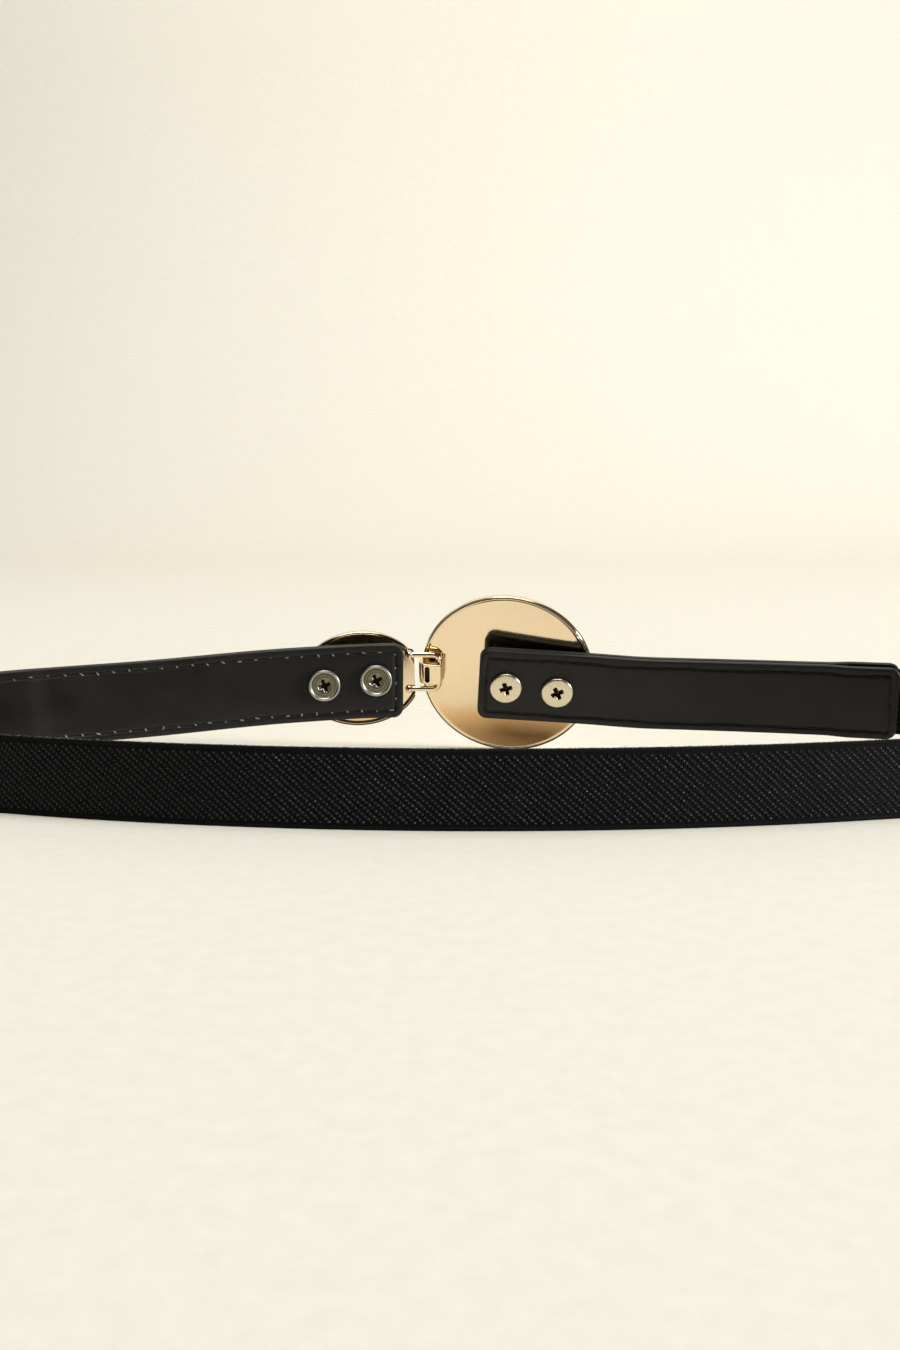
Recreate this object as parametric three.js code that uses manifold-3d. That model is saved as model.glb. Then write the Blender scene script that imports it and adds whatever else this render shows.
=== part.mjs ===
// Elastic stretch belt, fastened and standing on edge as a flattened loop.
// Millimetres, +Z up. The buckle is on the far side (+Y) and the plain elastic on the near side (-Y).

import * as THREE from 'three';
import { mergeVertices } from 'three/addons/utils/BufferGeometryUtils.js';
import Module from 'manifold-3d';

const wasm = await Module();
wasm.setup();

// Clearance between pieces that lie on, in or through each other
const GAP = 0.3;

// The loop seen from above, measured along the middle of the strap
const LOOP_HALF_LENGTH = 149.5;
const LOOP_HALF_WIDTH = 38;
const LOOP_END_RADIUS = 18;

// Elastic band
const ELASTIC_WIDTH = 20;
const ELASTIC_THICKNESS = 1.4;
const ELASTIC_BEVEL = 0.2;

// Leather tabs, each two layers with the end of the elastic between them
const TAB_LENGTH = 120;
const TAB_WIDTH = 22;
const TAB_CORNER_RADIUS = 3;
const TAB_SPACING = 22.3;
const RIGHT_TAB_START = -0.8;
const LEATHER_THICKNESS = 1.6;
const LEATHER_BEVEL = 0.35;
const TUCK_LENGTH = 12;
const TUCK_TAPER = 8;

// Large round disc of the buckle; its overhang is how far it reaches past the start of its tab
const LARGE_DISC_DIAMETER = 51.8;
const LARGE_DISC_OVERHANG = 17.55;
const LARGE_DISC_LEAN = 4.5;
const LARGE_DISC_YAW = -7;
const LARGE_DISC_ROLL = 2.7;
const LARGE_POST_HEIGHT = 3.9;

// Small oval disc of the buckle
const SMALL_DISC_LENGTH = 36.4;
const SMALL_DISC_HEIGHT = 29;
const SMALL_DISC_END_CUT = 1.9;
const SMALL_DISC_INSET = 12.5;
const SMALL_DISC_DROP = 0.9;
const SMALL_DISC_LEAN = 2;
const SMALL_DISC_YAW = 3;
const SMALL_POST_HEIGHT = 5;

// Section that both discs share
const DISC_THICKNESS = 2.2;
const DISC_DOME = 0.7;
const DISC_LIP_WIDTH = 1.1;
const DISC_LIP_HEIGHT = 0.3;
const DISC_EDGE_BEVEL = 0.4;
const DISC_FRONT_BEVEL = 0.7;
const DISC_SEGMENTS = 72;

// Clasp: a wire loop cast on the small disc, and a hook cast on the large one
const CLASP_RISE = 0.6;
const WIRE_DIAMETER = 1.7;
const WIRE_SIDES = 8;
const WIRE_STEPS = 40;
const WIRE_LOOP_LENGTH = 10.8;
const WIRE_LOOP_HEIGHT = 12;
const WIRE_LOOP_CORNER = 2.4;
const WIRE_STANDOFF = 1.6;
const WIRE_LEAN = -4;
const WIRE_YAW = 10;
const WIRE_OVERHANG = 0.5;
const EAR_DIAMETER = 2.6;
const EAR_DEPTH = 2;
const HOOK_WIDTH = 6.6;
const HOOK_THICKNESS = 1.1;
const HOOK_REACH = 6.1;
const HOOK_OVERHANG = 0.4;
const HOOK_CLEARANCE = 0.5;
const HOOK_SLOT_WIDTH = 1.2;
const HOOK_SLOT_MARGIN = 0.6;

// Screws and the cast posts that take them
const SCREW_INSET = 8;
const SCREW_SPACING = 15.2;
const SCREW_HEAD_DIAMETER = 9.3;
const SCREW_HEAD_HEIGHT = 0.9;
const SCREW_RIM_WIDTH = 0.55;
const SCREW_RIM_HEIGHT = 0.3;
const SCREW_EDGE_BEVEL = 0.55;
const SCREW_SHANK_DIAMETER = 2.8;
const SCREW_ENGAGEMENT = 2.2;
const SCREW_SEGMENTS = 32;
const RECESS_LENGTH = 3.8;
const RECESS_ARM = 1.1;
const RECESS_DEPTH = 0.55;
const POST_DIAMETER = 5.6;
const POST_ROOT = 1;
const POST_SEGMENTS = 20;
const HOLE_SEGMENTS = 16;

// Steps of the modelled surfaces
const SIDE_STEP = 7;
const TAB_STEP = 4;
const END_STEP = 3;
const CORNER_STEPS = 4;
const CURVE_STEPS = 5;
const SLOPE_STEP = 0.5;
const WELD_DISTANCE = 0.0001;

// How far each screw sits off the middle of its tab, and how far its recess is turned
const SCREWS = [
  { name: 'left_screw_1', tab: 'left', order: 0, across: 0.6, turn: 24, rimmed: true },
  { name: 'left_screw_2', tab: 'left', order: 1, across: -0.1, turn: 17, rimmed: true },
  { name: 'right_screw_1', tab: 'right', order: 0, across: -0.4, turn: 20, rimmed: false },
  { name: 'right_screw_2', tab: 'right', order: 1, across: -0.9, turn: 28, rimmed: false },
];

// Pose of the strap: place as a share of half the loop, rise as a share of the rise at the large
// disc, and inward lean of its upper edge in degrees
const STRAP_POSE = [
  { along: -1, rise: 0, lean: 0 },
  { along: -0.6, rise: 0, lean: 0 },
  { along: -0.44, rise: 0.63, lean: -3 },
  { along: -0.3, rise: 0.79, lean: 0 },
  { along: -0.17, rise: 1.005, lean: 3 },
  { along: -0.08, rise: 1.085, lean: 4 },
  { along: -0.005, rise: 1.035, lean: 15 },
  { along: 0.02, rise: 1, lean: 15 },
  { along: 0.093, rise: 0.9, lean: 15 },
  { along: 0.155, rise: 0.815, lean: 15 },
  { along: 0.24, rise: 0.8, lean: 15 },
  { along: 0.37, rise: 0.79, lean: 14 },
  { along: 0.6, rise: 0, lean: 0 },
  { along: 1, rise: 0, lean: 0 },
];

// Finishes
const FINISHES = {
  elastic: { color: 0x17171a, roughness: 0.85, metalness: 0 },
  leather: { color: 0x26241f, roughness: 0.55, metalness: 0 },
  gold: { color: 0xf0d3a4, roughness: 0.12, metalness: 1 },
  nickel: { color: 0x8d8770, roughness: 0.35, metalness: 1 },
  champagne: { color: 0xe6d9bd, roughness: 0.3, metalness: 1 },
};

// Radius and half angle of the loop's long sides, which meet its end arcs at a tangent
const endCentre = LOOP_HALF_LENGTH - LOOP_END_RADIUS;
const sideRadius = (endCentre ** 2 + LOOP_HALF_WIDTH ** 2 - LOOP_END_RADIUS ** 2)
  / (2 * (LOOP_HALF_WIDTH - LOOP_END_RADIUS));
const sideAngle = Math.asin(endCentre / (sideRadius - LOOP_END_RADIUS));
const sideLength = sideRadius * sideAngle;
const endLength = LOOP_END_RADIUS * (Math.PI - 2 * sideAngle);
const halfLoop = 2 * sideLength + endLength;

// Distances between the middle of the strap and the faces of its layers
const layerOffset = (GAP + LEATHER_THICKNESS) / 2;
const tuckOffset = (ELASTIC_THICKNESS + GAP) / 2;
const tabFace = layerOffset + LEATHER_THICKNESS / 2;

// The two tabs run away from the buckle, each from its own end of it
const TABS = {
  right: { start: RIGHT_TAB_START, side: 1 },
  left: { start: RIGHT_TAB_START - TAB_SPACING, side: -1 },
};

function tabPlace(tab, inset) {
  return TABS[tab].start + TABS[tab].side * inset;
}

// Value of a table's column at a place along the loop, smooth and without overshoot
function fromPose(column, along) {
  const rows = STRAP_POSE;
  const slopes = rows.slice(1).map((row, i) => (row[column] - rows[i][column]) / (row.along - rows[i].along));
  const tangent = (i) => {
    const before = slopes[i - 1] ?? 0;
    const after = slopes[i] ?? 0;
    return before * after > 0 ? (2 * before * after) / (before + after) : 0;
  };
  const last = rows.length - 2;
  const i = Math.min(last, Math.max(0, rows.findIndex((row) => row.along > along) - 1));
  const span = rows[i + 1].along - rows[i].along;
  const t = (along - rows[i].along) / span;
  const rise = rows[i + 1][column] - rows[i][column];
  const startPull = tangent(i) * span;
  const endPull = tangent(i + 1) * span;
  const cubic = startPull + endPull - 2 * rise;
  return rows[i][column] + t * (startPull + t * (rise - startPull - cubic + t * cubic));
}

// How far the loop has turned at a distance along the strap from the middle of the far side
function turnAt(distance) {
  const d = Math.abs(distance);
  let turn = d / sideRadius;
  if (d > sideLength) turn = sideAngle + (d - sideLength) / LOOP_END_RADIUS;
  if (d > sideLength + endLength) turn = Math.PI - sideAngle + (d - sideLength - endLength) / sideRadius;
  return Math.sign(distance) * turn;
}

// Point of the loop's plan at a distance along the strap
function planAt(distance) {
  const turn = turnAt(distance);
  const d = Math.abs(distance);
  const side = LOOP_HALF_WIDTH - sideRadius;
  let centre = new THREE.Vector2(0, side);
  let radius = sideRadius;
  if (d > sideLength) {
    centre = new THREE.Vector2(Math.sign(distance) * endCentre, 0);
    radius = LOOP_END_RADIUS;
  }
  if (d > sideLength + endLength) {
    centre = new THREE.Vector2(0, -side);
    radius = sideRadius;
  }
  return centre.add(new THREE.Vector2(Math.sin(turn), Math.cos(turn)).multiplyScalar(radius));
}

// The large disc stands on the ground: height of its middle, and the strap's rise that goes with it
const discPlace = tabPlace('right', LARGE_DISC_DIAMETER / 2 - LARGE_DISC_OVERHANG);
const largeSeat = tabFace + LARGE_POST_HEIGHT;
const discLean = THREE.MathUtils.degToRad(fromPose('lean', discPlace / halfLoop) + LARGE_DISC_LEAN);
const discHeight = (LARGE_DISC_DIAMETER / 2) * Math.cos(discLean);
const strapLean = discLean - THREE.MathUtils.degToRad(LARGE_DISC_LEAN);
const discRise = discHeight - largeSeat * Math.sin(strapLean) - ELASTIC_WIDTH / 2;

function riseAt(distance) {
  return discRise * fromPose('rise', distance / halfLoop);
}

// Frame of the strap: x runs along it, y across it and upwards, z towards the wearer
function strapFrame(distance) {
  const turn = turnAt(distance);
  const plan = planAt(distance);
  const slope = (riseAt(distance + SLOPE_STEP) - riseAt(distance - SLOPE_STEP)) / (2 * SLOPE_STEP);
  const origin = new THREE.Vector3(plan.x, plan.y, ELASTIC_WIDTH / 2 + riseAt(distance));
  const along = new THREE.Vector3(Math.cos(turn), -Math.sin(turn), slope).normalize();
  const inward = new THREE.Vector3().crossVectors(along, new THREE.Vector3(0, 0, 1)).normalize();
  const lean = THREE.MathUtils.degToRad(fromPose('lean', distance / halfLoop));
  inward.applyAxisAngle(along, lean);
  const up = new THREE.Vector3().crossVectors(inward, along);
  return new THREE.Matrix4().makeBasis(along, up, inward).setPosition(origin);
}

// A turned and moved frame inside another
function subFrame(frame, move, lean, yaw, roll) {
  const angles = [lean, yaw, roll].map(THREE.MathUtils.degToRad);
  const turn = new THREE.Matrix4().makeRotationFromEuler(new THREE.Euler(...angles, 'XYZ'));
  return frame.clone().multiply(new THREE.Matrix4().makeTranslation(move.x, move.y, move.z)).multiply(turn);
}

// Solid of a three.js geometry
function solidOf(geometry) {
  const bare = geometry.clone();
  const extras = Object.keys(bare.attributes).filter((name) => name !== 'position');
  extras.forEach((name) => bare.deleteAttribute(name));
  const welded = mergeVertices(bare, WELD_DISTANCE);
  const mesh = new wasm.Mesh({
    numProp: 3,
    vertProperties: new Float32Array(welded.attributes.position.array),
    triVerts: new Uint32Array(welded.index.array),
  });
  mesh.merge();
  return new wasm.Manifold(mesh);
}

// Geometry of a solid, with flat faces
function geometryOf(solid) {
  const mesh = solid.getMesh();
  const geometry = new THREE.BufferGeometry();
  geometry.setAttribute('position', new THREE.BufferAttribute(Float32Array.from(mesh.vertProperties), 3));
  geometry.setIndex(new THREE.BufferAttribute(Uint32Array.from(mesh.triVerts), 1));
  const faceted = geometry.toNonIndexed();
  faceted.computeVertexNormals();
  return faceted;
}

function join(base, ...pieces) {
  return pieces.reduce((solid, piece) => solid.add(solidOf(piece)), base);
}

function cut(base, ...pieces) {
  return pieces.reduce((solid, piece) => solid.subtract(solidOf(piece)), base);
}

// A cylinder along the local z axis, from one height to another
function rod(diameter, from, to, segments) {
  const geometry = new THREE.CylinderGeometry(diameter / 2, diameter / 2, to - from, segments);
  geometry.rotateX(Math.PI / 2);
  geometry.translate(0, 0, (from + to) / 2);
  return geometry;
}

// A solid of revolution about the local z axis, from points of radius and height
function turned(profile, segments) {
  const geometry = new THREE.LatheGeometry(profile.map(([r, z]) => new THREE.Vector2(r, z)), segments);
  geometry.rotateX(Math.PI / 2);
  return geometry;
}

// Stations along the strap, closer together where the loop turns
function stationsBetween(from, to) {
  const bends = [-1, 1].flatMap((side) => [side * sideLength, side * (sideLength + endLength)]);
  const marks = [from, ...bends.filter((mark) => mark > from && mark < to), to].sort((a, b) => a - b);
  return marks.flatMap((mark, i) => {
    if (i === marks.length - 1) return [mark];
    const middle = Math.abs((mark + marks[i + 1]) / 2);
    const bent = middle > sideLength && middle < sideLength + endLength;
    const count = Math.ceil((marks[i + 1] - mark) / (bent ? END_STEP : SIDE_STEP));
    return Array.from({ length: count }, (_, k) => mark + ((marks[i + 1] - mark) * k) / count);
  });
}

// Eight-sided strap section with bevelled edges, as places across the strap and towards the wearer
function strapSection(width, thickness, bevel, offset) {
  const w = width / 2;
  const t = thickness / 2;
  const corners = [
    [w - bevel, -t], [w, -t + bevel], [w, t - bevel], [w - bevel, t],
    [-w + bevel, t], [-w, t - bevel], [-w, -t + bevel], [-w + bevel, -t],
  ];
  return corners.map(([across, inward]) => new THREE.Vector3(0, across, inward + offset));
}

// Closed strip through a section at each station of the strap
function strip(stations, sectionAt) {
  const sections = stations.map((place) => (
    sectionAt(place).map((point) => point.applyMatrix4(strapFrame(place)))
  ));
  const sides = sections[0].length;
  const index = [];
  for (let i = 0; i < stations.length - 1; i += 1) {
    for (let k = 0; k < sides; k += 1) {
      const next = (k + 1) % sides;
      const [a, b] = [i * sides + k, i * sides + next];
      const [c, d] = [(i + 1) * sides + k, (i + 1) * sides + next];
      index.push(a, b, c, b, d, c);
    }
  }
  const last = (stations.length - 1) * sides;
  for (let k = 1; k < sides - 1; k += 1) {
    index.push(0, k + 1, k);
    index.push(last, last + k, last + k + 1);
  }
  const points = sections.flat().flatMap((point) => point.toArray());
  const geometry = new THREE.BufferGeometry();
  geometry.setAttribute('position', new THREE.Float32BufferAttribute(points, 3));
  geometry.setIndex(index);
  return geometry;
}

// Elastic band: from inside the right tab, round the near side, to inside the left tab
function elasticBand() {
  const ends = [tabPlace('right', TAB_LENGTH - TUCK_LENGTH), tabPlace('left', TAB_LENGTH - TUCK_LENGTH)];
  const section = () => strapSection(ELASTIC_WIDTH, ELASTIC_THICKNESS, ELASTIC_BEVEL, 0);
  const stations = [
    ...stationsBetween(ends[0], halfLoop),
    ...stationsBetween(-halfLoop, ends[1]).slice(1),
  ];
  return geometryOf(solidOf(strip(stations, section)));
}

// Places of the sections of a tab, with its rounded ends
function tabStations(tab) {
  const corner = Array.from({ length: CORNER_STEPS }, (_, i) => (
    TAB_CORNER_RADIUS * (1 - Math.cos((Math.PI / 2) * (i / CORNER_STEPS)))
  ));
  const straight = TAB_LENGTH - 2 * TAB_CORNER_RADIUS;
  const count = Math.ceil(straight / TAB_STEP);
  const middle = Array.from({ length: count + 1 }, (_, i) => TAB_CORNER_RADIUS + (straight * i) / count);
  const insets = [...corner, ...middle, ...corner.map((inset) => TAB_LENGTH - inset).reverse()];
  return insets.map((inset) => tabPlace(tab, inset)).sort((a, b) => a - b);
}

// One leather layer of a tab: side 1 faces the wearer, side -1 faces outwards
function leatherLayer(tab, side) {
  const section = (place) => {
    const inset = Math.abs(place - TABS[tab].start);
    const toEnd = Math.max(0, Math.min(inset, TAB_LENGTH - inset, TAB_CORNER_RADIUS));
    const corner = TAB_CORNER_RADIUS - Math.sqrt(TAB_CORNER_RADIUS ** 2 - (TAB_CORNER_RADIUS - toEnd) ** 2);
    const tuckStart = TAB_LENGTH - TUCK_LENGTH - GAP;
    const spread = THREE.MathUtils.smoothstep(inset, tuckStart - TUCK_TAPER, tuckStart);
    const offset = side * (layerOffset + spread * tuckOffset);
    return strapSection(TAB_WIDTH - 2 * corner, LEATHER_THICKNESS, LEATHER_BEVEL, offset);
  };
  const holes = SCREWS.filter((screw) => screw.tab === tab).map((screw) => {
    const reach = tabFace + LEATHER_THICKNESS;
    const hole = rod(SCREW_SHANK_DIAMETER + 2 * GAP, -reach, reach, HOLE_SEGMENTS);
    return hole.applyMatrix4(screwFrame(screw));
  });
  return geometryOf(cut(solidOf(strip(tabStations(tab), section)), ...holes));
}

// Frame of a screw at the middle of its tab's thickness, z towards the wearer
function screwFrame(screw) {
  const frame = strapFrame(tabPlace(screw.tab, SCREW_INSET + screw.order * SCREW_SPACING));
  return subFrame(frame, new THREE.Vector3(0, screw.across, 0), 0, 0, 0);
}

// Round disc with a lipped back at height 0 and a bevelled, slightly domed front below it
function discSolid(diameter, stretch) {
  const r = diameter / 2;
  const lipInside = r - DISC_LIP_WIDTH;
  const frontEdge = r - DISC_FRONT_BEVEL;
  const dome = Array.from({ length: CURVE_STEPS }, (_, i) => {
    const share = 1 - i / CURVE_STEPS;
    return [frontEdge * share, -DISC_THICKNESS - DISC_DOME * (1 - share ** 2)];
  });
  const profile = [
    [0, -DISC_LIP_HEIGHT],
    [lipInside - DISC_LIP_HEIGHT, -DISC_LIP_HEIGHT],
    [lipInside, 0],
    [r - DISC_EDGE_BEVEL, 0],
    [r, -DISC_EDGE_BEVEL],
    [r, DISC_FRONT_BEVEL - DISC_THICKNESS],
    ...dome,
    [0, -DISC_THICKNESS - DISC_DOME],
  ];
  return solidOf(turned(profile.reverse(), DISC_SEGMENTS).scale(stretch, 1, 1));
}

// Frames of the discs: z towards the wearer, origin at the middle of the back
function largeDiscFrame() {
  const seat = strapFrame(discPlace);
  const move = new THREE.Vector3(0, 0, -largeSeat);
  const frame = subFrame(seat, move, LARGE_DISC_LEAN, LARGE_DISC_YAW, LARGE_DISC_ROLL);
  const lowest = geometryOf(discSolid(LARGE_DISC_DIAMETER, 1)).applyMatrix4(frame);
  lowest.computeBoundingBox();
  return new THREE.Matrix4().makeTranslation(0, 0, -lowest.boundingBox.min.z).multiply(frame);
}

function smallDiscFrame() {
  const seat = strapFrame(tabPlace('left', SMALL_DISC_INSET));
  const move = new THREE.Vector3(0, -SMALL_DISC_DROP, -tabFace - SMALL_POST_HEIGHT);
  return subFrame(seat, move, SMALL_DISC_LEAN, SMALL_DISC_YAW, 0);
}

// Posts on a disc's back, each square to the tab and bored for its screw
function postsOn(tab, discFrame) {
  const toDisc = discFrame.clone().invert();
  return SCREWS.filter((screw) => screw.tab === tab).map((screw) => {
    const frame = toDisc.clone().multiply(screwFrame(screw));
    const top = -tabFace - GAP;
    const axis = new THREE.Vector3().setFromMatrixColumn(frame, 2);
    const start = new THREE.Vector3(0, 0, top).applyMatrix4(frame);
    const root = top - (start.z + DISC_LIP_HEIGHT) / axis.z - POST_ROOT;
    const bore = SCREW_SHANK_DIAMETER + 2 * GAP;
    return {
      post: rod(POST_DIAMETER, root, top, POST_SEGMENTS).applyMatrix4(frame),
      bore: rod(bore, top - SCREW_ENGAGEMENT - GAP, top + GAP, HOLE_SEGMENTS).applyMatrix4(frame),
    };
  });
}

// Hook at the large disc's left edge: a bend that rises round the wire and a tongue that covers it
function hookSolid() {
  const edge = -LARGE_DISC_DIAMETER / 2;
  const outside = edge - HOOK_OVERHANG;
  const inside = outside + HOOK_THICKNESS + DISC_EDGE_BEVEL;
  const under = WIRE_STANDOFF + WIRE_DIAMETER / 2 + HOOK_CLEARANCE;
  const top = under + HOOK_THICKNESS;
  const tip = edge + HOOK_REACH;
  const foot = -DISC_THICKNESS / 2;
  const innerBend = HOOK_THICKNESS;
  const outerBend = 2 * HOOK_THICKNESS;
  const profile = new THREE.Shape();
  profile.moveTo(edge + DISC_LIP_WIDTH, foot);
  profile.lineTo(inside, -DISC_LIP_HEIGHT);
  profile.lineTo(inside, under - innerBend);
  profile.quadraticCurveTo(inside, under, inside + innerBend, under);
  profile.lineTo(tip, under);
  profile.quadraticCurveTo(tip + HOOK_THICKNESS / 2, (under + top) / 2, tip, top);
  profile.lineTo(outside + outerBend, top);
  profile.quadraticCurveTo(outside, top, outside, top - outerBend);
  profile.lineTo(outside, foot + HOOK_THICKNESS);
  profile.quadraticCurveTo(outside, foot, outside + HOOK_THICKNESS, foot);
  const options = { depth: HOOK_WIDTH, bevelEnabled: false, curveSegments: CURVE_STEPS };
  const bar = new THREE.ExtrudeGeometry(profile, options);
  bar.translate(0, 0, -HOOK_WIDTH / 2);
  bar.rotateX(Math.PI / 2);
  bar.translate(0, CLASP_RISE, 0);
  const slotHeight = HOOK_WIDTH - 2 * HOOK_SLOT_MARGIN;
  const slot = new THREE.BoxGeometry(HOOK_SLOT_WIDTH, slotHeight, 3 * HOOK_THICKNESS);
  slot.translate(inside + innerBend / 2 + HOOK_SLOT_WIDTH / 2, CLASP_RISE, top);
  return cut(solidOf(bar), slot);
}

// Wire loop of the clasp, open towards the small disc, with an ear at each end. Its own frame has the
// origin at the middle of the bar that the hook holds.
function wireLoop() {
  const bar = HOOK_REACH - LARGE_DISC_DIAMETER / 2 + WIRE_OVERHANG - WIRE_DIAMETER / 2;
  const left = WIRE_DIAMETER - WIRE_LOOP_LENGTH;
  const reach = (WIRE_LOOP_HEIGHT - WIRE_DIAMETER) / 2;
  const corner = WIRE_LOOP_CORNER - WIRE_DIAMETER / 2;
  const at = (x, y) => new THREE.Vector3(x, y, 0);
  const path = new THREE.CurvePath();
  path.add(new THREE.LineCurve3(at(left, reach), at(-corner, reach)));
  path.add(new THREE.QuadraticBezierCurve3(at(-corner, reach), at(0, reach), at(0, reach - corner)));
  path.add(new THREE.LineCurve3(at(0, reach - corner), at(0, corner - reach)));
  path.add(new THREE.QuadraticBezierCurve3(at(0, corner - reach), at(0, -reach), at(-corner, -reach)));
  path.add(new THREE.LineCurve3(at(-corner, -reach), at(left, -reach)));
  const section = new THREE.Shape();
  section.absarc(0, 0, WIRE_DIAMETER / 2, 0, 2 * Math.PI);
  const options = { extrudePath: path, steps: WIRE_STEPS, curveSegments: WIRE_SIDES / 2 };
  const wire = new THREE.ExtrudeGeometry(section, options);
  const ears = [reach, -reach].map((y) => (
    rod(EAR_DIAMETER, -EAR_DEPTH, EAR_DIAMETER / 2, POST_SEGMENTS).translate(left, y, 0)
  ));
  const place = new THREE.Vector3(bar, CLASP_RISE, WIRE_STANDOFF);
  const frame = subFrame(new THREE.Matrix4(), place, WIRE_LEAN, WIRE_YAW, 0);
  return [wire, ...ears].map((geometry) => geometry.applyMatrix4(frame));
}

// Large disc with its hook and posts
function largeDisc() {
  const posts = postsOn('right', largeDiscFrame());
  const cast = join(discSolid(LARGE_DISC_DIAMETER, 1), ...posts.map((p) => p.post)).add(hookSolid());
  return geometryOf(cut(cast, ...posts.map((p) => p.bore)));
}

// Small disc, cut straight at its clasp end, with the wire loop and posts
function smallDisc() {
  const frame = smallDiscFrame();
  const posts = postsOn('left', frame);
  const fromClasp = frame.clone().invert().multiply(largeDiscFrame());
  const loop = wireLoop().map((piece) => piece.applyMatrix4(fromClasp));
  const end = new THREE.BoxGeometry(SMALL_DISC_LENGTH, SMALL_DISC_LENGTH, SMALL_DISC_LENGTH);
  end.translate(SMALL_DISC_LENGTH - SMALL_DISC_END_CUT, 0, 0);
  const oval = cut(discSolid(SMALL_DISC_HEIGHT, SMALL_DISC_LENGTH / SMALL_DISC_HEIGHT), end);
  const cast = join(oval, ...posts.map((p) => p.post), ...loop);
  return geometryOf(cut(cast, ...posts.map((p) => p.bore)));
}

// Screw: head on the wearer's side of the tab, shank through both layers into the post
function screwGeometry(screw) {
  const r = SCREW_HEAD_DIAMETER / 2;
  const seat = tabFace + GAP;
  const top = seat + SCREW_HEAD_HEIGHT;
  const shank = SCREW_SHANK_DIAMETER / 2;
  const tip = -tabFace - GAP - SCREW_ENGAGEMENT;
  const dish = r - SCREW_EDGE_BEVEL - SCREW_RIM_WIDTH;
  const rim = [
    [dish, top],
    [dish + SCREW_RIM_HEIGHT, top + SCREW_RIM_HEIGHT],
    [dish + SCREW_RIM_WIDTH + SCREW_RIM_HEIGHT, top + SCREW_RIM_HEIGHT],
  ];
  const profile = [
    [0, top],
    ...(screw.rimmed ? rim : [[r - SCREW_EDGE_BEVEL, top]]),
    [r, top - SCREW_EDGE_BEVEL],
    [r, seat],
    [shank, seat],
    [shank, tip],
    [0, tip],
  ];
  const cross = new THREE.Shape();
  const [long, arm] = [RECESS_LENGTH / 2, RECESS_ARM / 2];
  const quarter = [[long, -arm], [long, arm], [arm, arm]];
  for (let i = 0; i < 4; i += 1) {
    quarter.forEach(([x, y]) => {
      const point = new THREE.Vector2(x, y).rotateAround(new THREE.Vector2(), (i * Math.PI) / 2);
      if (i === 0 && x === long && y === -arm) cross.moveTo(point.x, point.y);
      else cross.lineTo(point.x, point.y);
    });
  }
  const depth = RECESS_DEPTH + SCREW_RIM_HEIGHT;
  const recess = new THREE.ExtrudeGeometry(cross, { depth, bevelEnabled: false });
  recess.rotateZ(THREE.MathUtils.degToRad(screw.turn));
  recess.translate(0, 0, top - RECESS_DEPTH);
  return geometryOf(cut(solidOf(turned(profile.reverse(), SCREW_SEGMENTS)), recess));
}

// A named piece, placed by a frame
function piece(name, finish, geometry, frame = new THREE.Matrix4()) {
  const mesh = new THREE.Mesh(geometry, new THREE.MeshStandardMaterial(FINISHES[finish]));
  mesh.name = name;
  frame.decompose(mesh.position, mesh.quaternion, mesh.scale);
  return mesh;
}

const belt = new THREE.Group();

const strap = new THREE.Group();
strap.add(piece('elastic_band', 'elastic', elasticBand()));
for (const tab of ['left', 'right']) {
  strap.add(piece(`${tab}_tab_inner`, 'leather', leatherLayer(tab, 1)));
  strap.add(piece(`${tab}_tab_outer`, 'leather', leatherLayer(tab, -1)));
}

const buckle = new THREE.Group();
buckle.add(piece('large_disc', 'gold', largeDisc(), largeDiscFrame()));
buckle.add(piece('small_disc', 'gold', smallDisc(), smallDiscFrame()));
for (const screw of SCREWS) {
  const finish = screw.rimmed ? 'nickel' : 'champagne';
  buckle.add(piece(screw.name, finish, screwGeometry(screw), screwFrame(screw)));
}

// The origin is under the middle of the belt, on the ground
belt.add(strap, buckle);
belt.updateMatrixWorld(true);
const extent = new THREE.Box3().setFromObject(belt, true);
const middle = extent.getCenter(new THREE.Vector3());
belt.position.set(-middle.x, -middle.y, -extent.min.z);

export default belt;
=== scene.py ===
"""Looks of a fastened elastic stretch belt: ribbed webbing, sewn leather tabs and a two-disc clasp."""

import logging
import math
from dataclasses import dataclass, field, replace
from enum import Enum

import bmesh
import bpy
import numpy as np
from mathutils import Matrix, Vector


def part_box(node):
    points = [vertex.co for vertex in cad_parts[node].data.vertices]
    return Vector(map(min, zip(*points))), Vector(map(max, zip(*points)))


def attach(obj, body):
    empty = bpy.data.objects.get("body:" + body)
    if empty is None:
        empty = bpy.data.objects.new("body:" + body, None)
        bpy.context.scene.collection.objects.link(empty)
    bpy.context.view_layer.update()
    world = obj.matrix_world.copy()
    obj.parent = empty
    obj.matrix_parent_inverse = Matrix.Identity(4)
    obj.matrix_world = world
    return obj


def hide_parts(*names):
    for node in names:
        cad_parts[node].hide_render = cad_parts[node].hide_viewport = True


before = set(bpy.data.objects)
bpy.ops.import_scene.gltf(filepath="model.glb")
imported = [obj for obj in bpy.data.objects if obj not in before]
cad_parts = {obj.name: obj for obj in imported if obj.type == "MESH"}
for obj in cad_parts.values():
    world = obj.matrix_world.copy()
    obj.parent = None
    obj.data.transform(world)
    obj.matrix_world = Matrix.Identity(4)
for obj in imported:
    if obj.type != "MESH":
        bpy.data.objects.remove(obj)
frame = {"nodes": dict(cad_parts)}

LOG = logging.getLogger("belt")
MM = 0.001
# A wave texture of scale 1 repeats this often in each unit
WAVE_REPEATS = 3.183
RIB_SEED, FUZZ_SEED, LOOP_SEED = 7, 11, 23
IMAGE_SIZE = (900, 1350)


# Colour and nodes


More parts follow.
